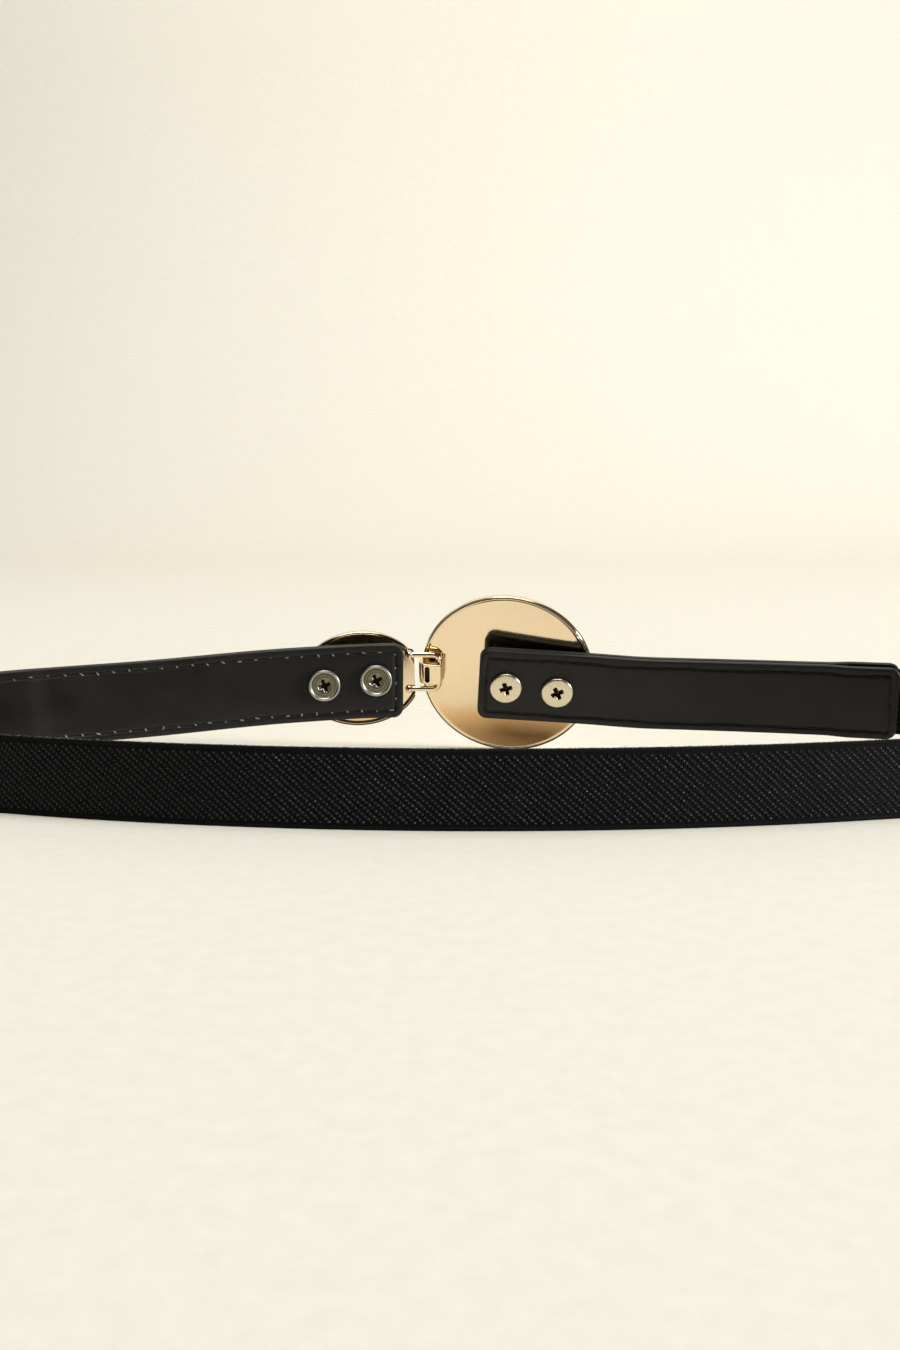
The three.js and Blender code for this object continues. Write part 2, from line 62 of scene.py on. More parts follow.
def srgb(hex_colour: str) -> tuple[float, float, float, float]:
    """Turn an sRGB hex colour into the linear colour that a shader takes.

    Args:
        hex_colour: Six hex digits, such as "f0d3a4".

    Returns:
        Linear red, green, blue and an alpha of 1.
    """
    channels = [int(hex_colour[i : i + 2], 16) / 255 for i in (0, 2, 4)]
    linear = [c / 12.92 if c <= 0.04045 else ((c + 0.055) / 1.055) ** 2.4 for c in channels]
    return (*linear, 1.0)


def add_node(material: bpy.types.Material, kind: str, links: dict, **settings) -> bpy.types.Node:
    """Add a node to a material, with its settings and what goes into it.

    Args:
        material: The material, or the world, that gets the node.
        kind: The node's type, such as "ShaderNodeTexNoise".
        links: Input name or number to a value, or to a (node, output) pair.
        **settings: Attributes of the node.

    Returns:
        The new node.
    """
    node = material.node_tree.nodes.new(kind)
    for name, value in settings.items():
        setattr(node, name, value)
    for name, value in links.items():
        socket = node.inputs[name]
        if isinstance(value, tuple) and isinstance(value[0], bpy.types.Node):
            material.node_tree.links.new(value[0].outputs[value[1]], socket)
        else:
            socket.default_value = value
    return node


def new_material(name: str) -> bpy.types.Material:
    """Make an empty node material.

    Args:
        name: Its name.

    Returns:
        The material.
    """
    material = bpy.data.materials.new(name)
    material.use_nodes = True
    material.node_tree.nodes.clear()
    return material


def finish_material(material: bpy.types.Material, shader: bpy.types.Node) -> bpy.types.Material:
    """Send a shader to the material's output.

    Args:
        material: The material.
        shader: Its Principled node.

    Returns:
        The same material.
    """
    add_node(material, "ShaderNodeOutputMaterial", {"Surface": (shader, "BSDF")})
    return material


def ramp_node(
    material: bpy.types.Material, source: tuple, stops: list[tuple[float, str]]
) -> bpy.types.Node:
    """Add a colour ramp.

    Args:
        material: The material that gets it.
        source: The (node, output) pair that drives it.
        stops: Places from 0 to 1 and the hex colour at each.

    Returns:
        The ramp node.
    """
    node = add_node(material, "ShaderNodeValToRGB", {"Fac": source})
    elements = node.color_ramp.elements
    elements[0].position, elements[1].position = stops[0][0], stops[-1][0]
    elements[0].color, elements[1].color = srgb(stops[0][1]), srgb(stops[-1][1])
    for place, colour in stops[1:-1]:
        elements.new(place).color = srgb(colour)
    return node


# Finishes


@dataclass(frozen=True)
class WebbingGround:
    """Woven ground of the elastic: matt black polyester over rubber, with fine weft lines."""

    name: str = "woven_polyester_elastic_ground"
    shadow: str = "040405"
    yarn: str = "0c0c0e"
    weft_pitch_mm: float = 0.45
    roughness: float = 0.78

    def build(self) -> bpy.types.Material:
        """Make the material."""
        material = new_material(self.name)
        place = add_node(material, "ShaderNodeUVMap", {})
        # Weft lines 0.45 mm apart: a dull dark ground that the ribs stand out from
        weft = add_node(
            material,
            "ShaderNodeTexWave",
            {
                "Vector": (place, "UV"),
                "Scale": 1 / (self.weft_pitch_mm * WAVE_REPEATS),
                "Distortion": 0.6,
                "Detail": 1.0,
            },
            bands_direction="X",
        )
        colour = ramp_node(material, (weft, "Fac"), [(0.0, self.shadow), (1.0, self.yarn)])
        bump = add_node(
            material, "ShaderNodeBump", {"Height": (weft, "Fac"), "Strength": 0.6, "Distance": 0.00012}
        )
        shader = add_node(
            material,
            "ShaderNodeBsdfPrincipled",
            {
                "Base Color": (colour, "Color"),
                "Roughness": self.roughness,
                "Normal": (bump, "Normal"),
                "Specular IOR Level": 0.15,
            },
        )
        return finish_material(material, shader)


@dataclass(frozen=True)
class RibYarn:
    """Bright-drawn polyester yarn of the ribs: black, with a soft glint on each float."""

    name: str = "twisted_polyester_rib_yarn"
    dark: str = "020203"
    light: str = "08080a"
    glint: str = "e6f0ff"
    roughness: float = 0.18

    def build(self) -> bpy.types.Material:
        """Make the material."""
        material = new_material(self.name)
        place = add_node(material, "ShaderNodeTexCoord", {})
        # Lots of yarn about 3 mm across differ a little in shade, as dyed yarn does
        lots = add_node(
            material, "ShaderNodeTexNoise", {"Vector": (place, "Object"), "Scale": 330.0, "Detail": 3.0}
        )
        colour = ramp_node(material, (lots, "Fac"), [(0.3, self.dark), (0.7, self.light)])
        # Filaments 0.1 mm thick, drawn coarse enough to break up each float's glint
        filament = add_node(
            material, "ShaderNodeTexNoise", {"Vector": (place, "Object"), "Scale": 5000.0, "Detail": 1.0}
        )
        bump = add_node(
            material, "ShaderNodeBump", {
                "Height": (filament, "Fac"), "Strength": 0.35, "Distance": 0.00006
            }
        )
        shader = add_node(
            material,
            "ShaderNodeBsdfPrincipled",
            {
                "Base Color": (colour, "Color"),
                "Roughness": self.roughness,
                "Normal": (bump, "Normal"),
                "Specular Tint": srgb(self.glint),
                "Specular IOR Level": 0.42,
            },
        )
        return finish_material(material, shader)


@dataclass(frozen=True)
class SatinLeather:
    """Chrome-tanned, pigmented and ironed cowhide: satin black, with a fine pebbled grain."""

    name: str = "pigmented_satin_cowhide"
    low: str = "161512"
    high: str = "211f1b"
    pore_mm: float = 0.55
    roughness: tuple[float, float] = (0.40, 0.58)
    grain_height_mm: float = 0.035

    def build(self) -> bpy.types.Material:
        """Make the material."""
        material = new_material(self.name)
        place = add_node(material, "ShaderNodeTexCoord", {})
        # Grain cells 0.55 mm across: ironed nearly flat, so they only soften the highlights
        grain = add_node(
            material,
            "ShaderNodeTexVoronoi",
            {"Vector": (place, "Object"), "Scale": 1 / (self.pore_mm * MM), "Randomness": 1.0},
            feature="SMOOTH_F1",
        )
        # Cloudy patches about 12 mm across, where the finish took more or less pigment
        cloud = add_node(
            material, "ShaderNodeTexNoise", {"Vector": (place, "Object"), "Scale": 85.0, "Detail": 6.0}
        )
        colour = ramp_node(material, (cloud, "Fac"), [(0.25, self.low), (0.75, self.high)])
        gloss = add_node(
            material,
            "ShaderNodeMapRange",
            {
                "Value": (cloud, "Fac"),
                "From Min": 0.3,
                "From Max": 0.7,
                "To Min": self.roughness[0],
                "To Max": self.roughness[1],
            },
        )
        bump = add_node(
            material,
            "ShaderNodeBump",
            {"Height": (grain, "Distance"), "Strength": 0.35, "Distance": self.grain_height_mm * MM},
        )
        shader = add_node(
            material,
            "ShaderNodeBsdfPrincipled",
            {
                "Base Color": (colour, "Color"),
                "Roughness": (gloss, "Result"),
                "Normal": (bump, "Normal"),
                "Specular IOR Level": 0.36,
            },
        )
        return finish_material(material, shader)


@dataclass(frozen=True)
class PaintedEdge:
    """Cut leather edge, sanded and painted: duller and slightly paler than the face, with fibres showing."""

    name: str = "painted_leather_edge"
    low: str = "1d1b18"
    high: str = "3a3731"
    fibre_mm: float = 0.4
    roughness: float = 0.45

    def build(self) -> bpy.types.Material:
        """Make the material."""
        material = new_material(self.name)
        place = add_node(material, "ShaderNodeTexCoord", {})
        fibre = add_node(
            material,
            "ShaderNodeTexNoise",
            {
                "Vector": (place, "Object"),
                "Scale": 1 / (self.fibre_mm * MM),
                "Detail": 5.0,
                "Roughness": 0.6,
            },
        )
        colour = ramp_node(material, (fibre, "Fac"), [(0.35, self.low), (0.7, self.high)])
        bump = add_node(
            material, "ShaderNodeBump", {"Height": (fibre, "Fac"), "Strength": 0.5, "Distance": 0.00008}
        )
        shader = add_node(
            material,
            "ShaderNodeBsdfPrincipled",
            {"Base Color": (colour, "Color"), "Roughness": self.roughness, "Normal": (bump, "Normal")},
        )
        return finish_material(material, shader)


@dataclass(frozen=True)
class BondedThread:
    """Bonded polyester sewing thread: black and slightly glossy, so each stitch catches a glint."""

    name: str
    low: str
    high: str
    roughness: float
    ply_mm: float = 0.35

    def build(self) -> bpy.types.Material:
        """Make the material."""
        material = new_material(self.name)
        place = add_node(material, "ShaderNodeTexCoord", {})
        ply = add_node(
            material,
            "ShaderNodeTexNoise",
            {"Vector": (place, "Object"), "Scale": 1 / (self.ply_mm * MM), "Detail": 2.0},
        )
        colour = ramp_node(material, (ply, "Fac"), [(0.3, self.low), (0.75, self.high)])
        bump = add_node(
            material, "ShaderNodeBump", {"Height": (ply, "Fac"), "Strength": 0.4, "Distance": 0.00006}
        )
        shader = add_node(
            material,
            "ShaderNodeBsdfPrincipled",
            {"Base Color": (colour, "Color"), "Roughness": self.roughness, "Normal": (bump, "Normal")},
        )
        return finish_material(material, shader)


# Needle thread, pulled tight into its channel: matt black, so the seam reads as a dark line
NEEDLE_THREAD = BondedThread("waxed_needle_thread", "060606", "12120f", roughness=0.6)
# Looper thread, of which short glossy bits show at the needle holes: its pale grey is a painted glint on black
# thread
LOOPER_THREAD_GLINT = BondedThread("bonded_looper_thread", "34332f", "a9a69b", roughness=0.28)
# Worn filaments of the selvage: painted pale grey, lighter than the black yarn, for the light that passes
# through such thin ones
FUZZ_YARN = BondedThread("stray_polyester_filaments", "4c4c4f", "a4a4a8", roughness=0.5)


@dataclass(frozen=True)
class MetalFinish:
    """A metal: two shades, two roughnesses, and the size and depth of its fine marks."""

    name: str
    low: str
    high: str
    roughness: tuple[float, float]
    mark_mm: float
    mark_depth_mm: float
    ripple_mm: float = 9.0
    ripple_depth_mm: float = 0.0
    # Dark brown painted shade that ambient occlusion puts in corners, and how far it reaches
    grime: str = ""
    grime_mm: float = 1.0
    # Brown painted shade towards the lower edge, and the heights over which it fades in
    copper: str = ""
    copper_heights_mm: tuple[float, float] = (10.0, 16.5)

    def weathered(self, material: bpy.types.Material, place: bpy.types.Node, colour: tuple) -> tuple:
        """Paint shade into a colour: brown towards the lower edge, and darker in the corners.

        Args:
            material: The material.
            place: Its texture coordinates.
            colour: The (node, output) pair of the colour before its painted shade.

        Returns:
            The (node, output) pair of the colour with its painted shade.
        """
        # Painted shade: the colour turns brown below a height, where the mirror shows the shaded floor
        if self.copper:
            height = add_node(material, "ShaderNodeSeparateXYZ", {0: (place, "Object")})
            low, high = (h * MM for h in self.copper_heights_mm)
            low_share = add_node(
                material,
                "ShaderNodeMapRange",
                {"Value": (height, "Z"), "From Min": low, "From Max": high, "To Min": 1.0, "To Max": 0.0},
                interpolation_type="SMOOTHSTEP",
            )
            low_shaded = add_node(
                material, "ShaderNodeMix", {
                    0: (low_share, "Result"), 6: colour, 7: srgb(self.copper)
                }, data_type="RGBA"
            )
            colour = (low_shaded, 2)
        # Painted shade: ambient occlusion darkens the colour in corners and crevices
        if self.grime:
            corner = add_node(
                material, "ShaderNodeAmbientOcclusion", {
                    "Distance": self.grime_mm * MM
                }, samples=8, only_local=True
            )
            unshaded_share = add_node(
                material, "ShaderNodeMapRange", {
                    "Value": (corner, "AO"), "From Min": 0.45, "From Max": 0.85
                }
            )
            corner_shaded = add_node(
                material, "ShaderNodeMix", {
                    0: (unshaded_share, "Result"), 6: srgb(self.grime), 7: colour
                }, data_type="RGBA"
            )
            colour = (corner_shaded, 2)
        return colour

    def build(self) -> bpy.types.Material:
        """Make the material."""
        material = new_material(self.name)
        place = add_node(material, "ShaderNodeTexCoord", {})
        marks = add_node(
            material,
            "ShaderNodeTexNoise",
            {
                "Vector": (place, "Object"),
                "Scale": 1 / (self.mark_mm * MM),
                "Detail": 4.0,
                "Roughness": 0.65,
            },
        )
        ripple = add_node(
            material,
            "ShaderNodeTexNoise",
            {"Vector": (place, "Object"), "Scale": 1 / (self.ripple_mm * MM), "Detail": 1.0},
        )
        colour = ramp_node(material, (marks, "Fac"), [(0.3, self.low), (0.7, self.high)])
        gloss = add_node(
            material,
            "ShaderNodeMapRange",
            {
                "Value": (marks, "Fac"),
                "From Min": 0.35,
                "From Max": 0.7,
                "To Min": self.roughness[0],
                "To Max": self.roughness[1],
            },
        )
        wide = add_node(
            material,
            "ShaderNodeBump",
            {"Height": (ripple, "Fac"), "Strength": 1.0, "Distance": self.ripple_depth_mm * MM},
        )
        fine = add_node(
            material,
            "ShaderNodeBump",
            {
                "Height": (marks, "Fac"),
                "Strength": 1.0,
                "Distance": self.mark_depth_mm * MM,
                "Normal": (wide, "Normal"),
            },
        )
        shader = add_node(
            material,
            "ShaderNodeBsdfPrincipled",
            {
                "Base Color": self.weathered(material, place, (colour, "Color")),
                "Metallic": 1.0,
                "Roughness": (gloss, "Result"),
                "Normal": (fine, "Normal"),
            },
        )
        return finish_material(material, shader)


# Die-cast zinc, copper and nickel plated, then flashed with pale gold: a near mirror that warms what it shows
# Ambient occlusion paints dark brown shade into its corners
GOLD_PLATE = MetalFinish(
    "pale_gold_plated_zinc", "f6dfb9", "fce7c6", (0.06, 0.16), mark_mm=0.5, mark_depth_mm=0.0012,
    ripple_mm=14.0, ripple_depth_mm=0.02, grime="3a2413",
)
# The same plating on the disc's back, which wear hides, with painted shade: its colour turns brown
# towards the lower edge, where the mirror shows the floor in shade
LOW_SHADED_GOLD = replace(GOLD_PLATE, name="thin_gold_over_copper", copper="f6cb94")
# Barrel-plated nickel over steel, dulled by handling: an olive grey face under a bright worn rim
DULL_NICKEL = MetalFinish(
    "tumbled_dull_nickel", "7f7a64", "a39d84", (0.34, 0.5), mark_mm=0.35, mark_depth_mm=0.006
)
BRIGHT_NICKEL = MetalFinish(
    "worn_bright_nickel", "b9b6aa", "d2d0c6", (0.3, 0.42), mark_mm=0.5, mark_depth_mm=0.002
)
# Flat champagne flash on a turned head: pale, even and softly satin
CHAMPAGNE = MetalFinish(
    "satin_champagne_plate", "e0d2b2", "efe4ca", (0.24, 0.36), mark_mm=0.4, mark_depth_mm=0.003
)
# Dark brown painted shade for recesses: the deep part of each screw's cross, the hook's slot and the groove
# round the discs' lip
RECESS_SHADE = MetalFinish(
    "driver_worn_recess", "1c140e", "4a3828", (0.4, 0.6), mark_mm=0.3, mark_depth_mm=0.01
)


# Meshes


@dataclass
class MeshParts:
    """Collects patches of points and faces, in millimetres, and turns them into one object."""

    points: list[np.ndarray] = field(default_factory=list)
    faces: list[tuple[list[int], int]] = field(default_factory=list)
    uvs: list[np.ndarray] = field(default_factory=list)
    count: int = 0

    def add(
        self,
        points: np.ndarray,
        faces: list[list[int]],
        slots: list[int] | None = None,
        uv: np.ndarray | None = None,
    ) -> None:
        """Add a patch.

        Args:
            points: One row of x, y and z for each point.
            faces: Point numbers of each face, within the patch.
            slots: Material slot of each face, or None for the first slot all over.
            uv: One row of two surface measures for each point.
        """
        points = np.asarray(points, dtype=float)
        slots = [0] * len(faces) if slots is None else slots
        self.faces.extend(
            ([self.count + i for i in face], slot) for face, slot in zip(faces, slots, strict=True)
        )
        self.points.append(points)
        self.uvs.append(np.zeros((len(points), 2)) if uv is None else np.asarray(uv, dtype=float))
        self.count += len(points)

    def object(
        self, name: str, materials: list[bpy.types.Material], sharp_deg: float = 40.0
    ) -> bpy.types.Object:
        """Make the object.

        Args:
            name: Name of the piece.
            materials: The material of each slot.
            sharp_deg: Edges that turn more than this stay sharp.

        Returns:
            The new object, in metres.
        """
        mesh = bpy.data.meshes.new(name)
        points = np.concatenate(self.points) * MM
        mesh.from_pydata(points.tolist(), [], [face for face, _ in self.faces])
        layer = mesh.uv_layers.new(name="UVMap")
        loops = np.empty(len(mesh.loops), dtype=np.int32)
        mesh.loops.foreach_get("vertex_index", loops)
        layer.data.foreach_set("uv", np.concatenate(self.uvs)[loops].ravel().astype(np.float32))
        mesh.polygons.foreach_set(
            "material_index", np.array([slot for _, slot in self.faces], dtype=np.int32)
        )
        mesh.polygons.foreach_set("use_smooth", np.ones(len(self.faces), dtype=bool))
        mesh.update()
        mesh.set_sharp_from_angle(angle=math.radians(sharp_deg))
        mesh.validate()
        for material in materials:
            mesh.materials.append(material)
        made = bpy.data.objects.new(name, mesh)
        bpy.context.scene.collection.objects.link(made)
        return made


def grid_faces(
    rows: int, columns: int, closed: bool = False, flip: bool = False, start: int = 0
) -> list[list[int]]:
    """Faces of a grid of points that runs row by row.

    Args:
        rows: Number of rows.
        columns: Number of points in each row.
        closed: Whether each row closes on itself.
        flip: Whether the faces turn the other way.
        start: Number of the first point.

    Returns:
        The point numbers of each face.
    """
    faces = []
    for i in range(rows - 1):
        for k in range(columns if closed else columns - 1):
            n = (k + 1) % columns
            here, there = start + i * columns, start + (i + 1) * columns
            face = [here + k, here + n, there + n, there + k]
            faces.append(face[::-1] if flip else face)
    return faces


def tube(
    path: np.ndarray, radius: np.ndarray, sides: int, flat: float = 1.0, up: np.ndarray | None = None
) -> tuple:
    """Round rod along a path, closed at both ends.

    Args:
        path: The points of its middle line.
        radius: The radius at each of them.
        sides: Number of sides.
        flat: Height of the section as a share of its width.
        up: Direction that the section's height follows.

    Returns:
        Points and faces.
    """
    along = np.gradient(path, axis=0)
    along /= np.linalg.norm(along, axis=1, keepdims=True)
    normal = np.array([0.0, 0.0, 1.0]) if up is None else np.asarray(up, dtype=float)
    rings = []
    for point, direction, r in zip(path, along, radius):
        normal = normal - direction * np.dot(normal, direction)
        normal = normal / np.linalg.norm(normal)
        side = np.cross(direction, normal)
        turn = 2 * np.pi * np.arange(sides) / sides
        rings.append(point + r * (np.outer(np.cos(turn), side) + flat * np.outer(np.sin(turn), normal)))
    points = np.concatenate(rings)
    faces = grid_faces(len(path), sides, closed=True, flip=True)
    last = (len(path) - 1) * sides
    faces.append(list(range(sides)))
    faces.append([last + k for k in reversed(range(sides))])
    return points, faces


def turned(
    profile: list[tuple[float, float]], segments: int, stretch: tuple[float, float] = (1.0, 1.0)
) -> tuple:
    """Solid of revolution about z, from points of radius and height that run from the axis to the axis.

    Args:
        profile: Radius and height of each ring, top first. The first and last lie on the axis.
        segments: Number of segments.
        stretch: Added half lengths along x and y, as shares of the radius 1.

    Returns:
        Points and faces.
    """
    turn = 2 * np.pi * np.arange(segments) / segments
    rings = [
        np.stack(
            [r * stretch[0] * np.cos(turn), r * stretch[1] * np.sin(turn), np.full(segments, z)], axis=1
        )
        for r, z in profile[1:-1]
    ]
    points = np.concatenate([*rings, [[0, 0, profile[0][1]]], [[0, 0, profile[-1][1]]]])
    faces = grid_faces(len(rings), segments, closed=True, flip=True)
    top, bottom = len(rings) * segments, len(rings) * segments + 1
    last = (len(rings) - 1) * segments
    for k in range(segments):
        n = (k + 1) % segments
        faces.append([top, k, n])
        faces.append([bottom, last + n, last + k])
    return points, faces


def transform(points: np.ndarray, matrix: Matrix) -> np.ndarray:
    """Put points through a matrix."""
    m = np.array(matrix)
    return np.asarray(points) @ m[:3, :3].T + m[:3, 3]


def extruded(outline: np.ndarray, depth: float) -> tuple:
    """Prism of an outline, from z = 0 up.

    Args:
        outline: Its x and y points.
        depth: Its height.

    Returns:
        Points and faces.
    """
    count = len(outline)
    low = np.column_stack([outline, np.zeros(count)])
    points = np.concatenate([low, low + [0, 0, depth]])
    faces = [list(reversed(range(count))), list(range(count, 2 * count))]
    for k in range(count):
        n = (k + 1) % count
        faces.append([k, n, count + n, count + k])
    return points, faces


def arc(centre: tuple[float, float], radius: float, start_deg: float, end_deg: float, steps: int) -> list:
    """Points of an arc.

    Args:
        centre: Its middle.
        radius: Its radius.
        start_deg: Angle where it starts.
        end_deg: Angle where it ends.
        steps: Number of steps between.

    Returns:
        A list of x and y pairs.
    """
    angles = np.radians(np.linspace(start_deg, end_deg, steps + 1))
    return [(centre[0] + radius * math.cos(a), centre[1] + radius * math.sin(a)) for a in angles]


def cut_with(piece: bpy.types.Object, cutter: bpy.types.Object) -> None:
    """Cut one object out of another and delete the cutter.

    Args:
        piece: The object that is cut.
        cutter: The object that goes.
    """
    change = piece.modifiers.new("cut", "BOOLEAN")
    change.operation = "DIFFERENCE"
    change.solver = "EXACT"
    change.object = cutter
    apply_modifiers(piece)
    bpy.data.objects.remove(cutter, do_unlink=True)


def apply_modifiers(piece: bpy.types.Object) -> None:
    """Replace an object's mesh by what its modifiers make of it.

    Args:
        piece: The object.
    """
    bpy.context.view_layer.update()
    graph = bpy.context.evaluated_depsgraph_get()
    mesh = bpy.data.meshes.new_from_object(piece.evaluated_get(graph))
    piece.modifiers.clear()
    piece.data = mesh


def shade_smooth(mesh: bpy.types.Mesh, sharp_deg: float) -> None:
    """Shade a mesh smooth, apart from edges that turn more than an angle."""
    mesh.polygons.foreach_set("use_smooth", np.ones(len(mesh.polygons), dtype=bool))
    mesh.set_sharp_from_angle(angle=math.radians(sharp_deg))


# The strap's course


@dataclass(frozen=True)
class StrapPose:
    """How the strap stands at one place: a share of half the loop, of the disc's rise, and a lean in degrees."""

    along: float
    rise: float
    lean: float


STRAP_POSES = (
    StrapPose(-1, 0, 0),
    StrapPose(-0.6, 0, 0),
    StrapPose(-0.44, 0.63, -3),
    StrapPose(-0.3, 0.79, 0),
    StrapPose(-0.17, 1.005, 3),
    StrapPose(-0.08, 1.085, 4),
    StrapPose(-0.005, 1.035, 15),
    StrapPose(0.02, 1, 15),
    StrapPose(0.093, 0.9, 15),
    StrapPose(0.155, 0.815, 15),
    StrapPose(0.24, 0.8, 15),
    StrapPose(0.37, 0.79, 14),
    StrapPose(0.6, 0, 0),
    StrapPose(1, 0, 0),
)


@dataclass
class StrapCourse:
    """The closed course of the strap: an oval seen from above, with a rise and a lean. Millimetres.

    Places are lengths along the strap from the middle of the far side, positive to the right.
    """

    half_length: float = 149.5
    half_width: float = 38.0
    end_radius: float = 18.0
    width: float = 20.0
    thickness: float = 1.4
    disc_rise: float = 0.0
    centre: tuple[float, float] = (0.0, 0.0)

    def __post_init__(self) -> None:
        """Work out the arcs of the oval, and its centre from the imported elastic."""
        self.end_centre = self.half_length - self.end_radius
        self.side_radius = (self.end_centre**2 + self.half_width**2 - self.end_radius**2) / (
            2 * (self.half_width - self.end_radius)
        )
        self.side_angle = math.asin(self.end_centre / (self.side_radius - self.end_radius))
        self.side_length = self.side_radius * self.side_angle
        self.end_length = self.end_radius * (math.pi - 2 * self.side_angle)
        self.half_loop = 2 * self.side_length + self.end_length
        low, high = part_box("elastic_band")
        near_face = low[1] / MM
        self.centre = ((low[0] + high[0]) / 2 / MM, near_face + self.half_width + self.thickness / 2)

    def wrapped(self, place: np.ndarray) -> np.ndarray:
        """Bring places within half a loop of the middle of the far side."""
        return (np.asarray(place, dtype=float) + self.half_loop) % (2 * self.half_loop) - self.half_loop

    def column(self, name: str, place: np.ndarray) -> np.ndarray:
        """Smooth value of a column of the pose table, without overshoot.

        Args:
            name: The column.
            place: Places along the strap.

        Returns:
            The value at each.
        """
        x = np.array([pose.along for pose in STRAP_POSES])
        y = np.array([getattr(pose, name) for pose in STRAP_POSES], dtype=float)
        span = np.diff(x)
        slope = np.diff(y) / span
        both = slope[:-1] * slope[1:]
        inner = np.where(both > 0, 2 * both / np.where(both > 0, slope[:-1] + slope[1:], 1), 0)
        tangent = np.concatenate([[0], inner, [0]])
        share = self.wrapped(place) / self.half_loop
        i = np.clip(np.searchsorted(x, share, side="right") - 1, 0, len(x) - 2)
        t = (share - x[i]) / span[i]
        start, end, rise = tangent[i] * span[i], tangent[i + 1] * span[i], y[i + 1] - y[i]
        cubic = start + end - 2 * rise
        return y[i] + t * (start + t * (rise - start - cubic + t * cubic))

    def frames(self, place: np.ndarray) -> tuple[np.ndarray, np.ndarray, np.ndarray, np.ndarray]:
        """Frame of the strap at each place.

        Args:
            place: Places along the strap.

        Returns:
            Its middle, and the directions along it, up across it and towards the wearer.
        """
        s = self.wrapped(place)
        d, sign = np.abs(s), np.where(s < 0, -1.0, 1.0)
        in_end, in_near = d > self.side_length, d > self.side_length + self.end_length
        turn = d / self.side_radius
        turn = np.where(in_end, self.side_angle + (d - self.side_length) / self.end_radius, turn)
        past = d - self.side_length - self.end_length
        turn = sign * np.where(in_near, math.pi - self.side_angle + past / self.side_radius, turn)
        far = self.half_width - self.side_radius
        middle_x = np.where(in_end & ~in_near, sign * self.end_centre, 0.0)
        middle_y = np.where(in_near, -far, np.where(in_end, 0.0, far))
        radius = np.where(in_end & ~in_near, self.end_radius, self.side_radius)
        rise = self.disc_rise * self.column("rise", s)
        slope = self.disc_rise * (self.column("rise", s + 0.5) - self.column("rise", s - 0.5))
        origin = np.stack(
            [
                self.centre[0] + middle_x + radius * np.sin(turn),
                self.centre[1] + middle_y + radius * np.cos(turn),
                self.width / 2 + rise,
            ],
            axis=-1,
        )
        along = np.stack([np.cos(turn), -np.sin(turn), slope], axis=-1)
        along /= np.linalg.norm(along, axis=-1, keepdims=True)
        level = np.cross(along, [0.0, 0.0, 1.0])
        level /= np.linalg.norm(level, axis=-1, keepdims=True)
        lean = np.radians(self.column("lean", s))[..., None]
        inward = level * np.cos(lean) + np.cross(along, level) * np.sin(lean)
        return origin, along, np.cross(inward, along), inward

    def points(self, place: np.ndarray, across: np.ndarray, inward: np.ndarray) -> np.ndarray:
        """Points of the strap.

        Args:
            place: Places along the strap.
            across: Heights across it, from its middle line.
            inward: Offsets towards the wearer.

        Returns:
            One row of x, y and z for each.
        """
        origin, _, up, towards = self.frames(place)
        return origin + up * np.asarray(across)[..., None] + towards * np.asarray(inward)[..., None]

    def matrix(self, place: float) -> Matrix:
        """Frame at one place as a matrix: x along the strap, y up across it, z towards the wearer.

        Args:
            place: Place along the strap.

        Returns:
            The frame, in millimetres.
        """
        origin, along, up, inward = self.frames(np.array([place]))
        made = Matrix.Identity(4)
        for k, axis in enumerate((along[0], up[0], inward[0], origin[0])):
            for i in range(3):
                made[i][k] = axis[i]
        return made


def moved(
    base: Matrix, move: tuple[float, float, float], lean: float = 0, yaw: float = 0, roll: float = 0
) -> Matrix:
    """A moved and turned frame inside another, with angles in degrees.

    Args:
        base: The outer frame.
        move: Where its origin goes.
        lean: Turn about x.
        yaw: Turn about y.
        roll: Turn about z.

    Returns:
        The inner frame.
    """
    turns = [
        Matrix.Rotation(math.radians(a), 4, axis) for a, axis in ((lean, "X"), (yaw, "Y"), (roll, "Z"))
    ]
    return base @ Matrix.Translation(move) @ turns[0] @ turns[1] @ turns[2]


class Tab(Enum):
    """The two leather tabs, each with its direction away from the buckle."""

    RIGHT = 1
    LEFT = -1


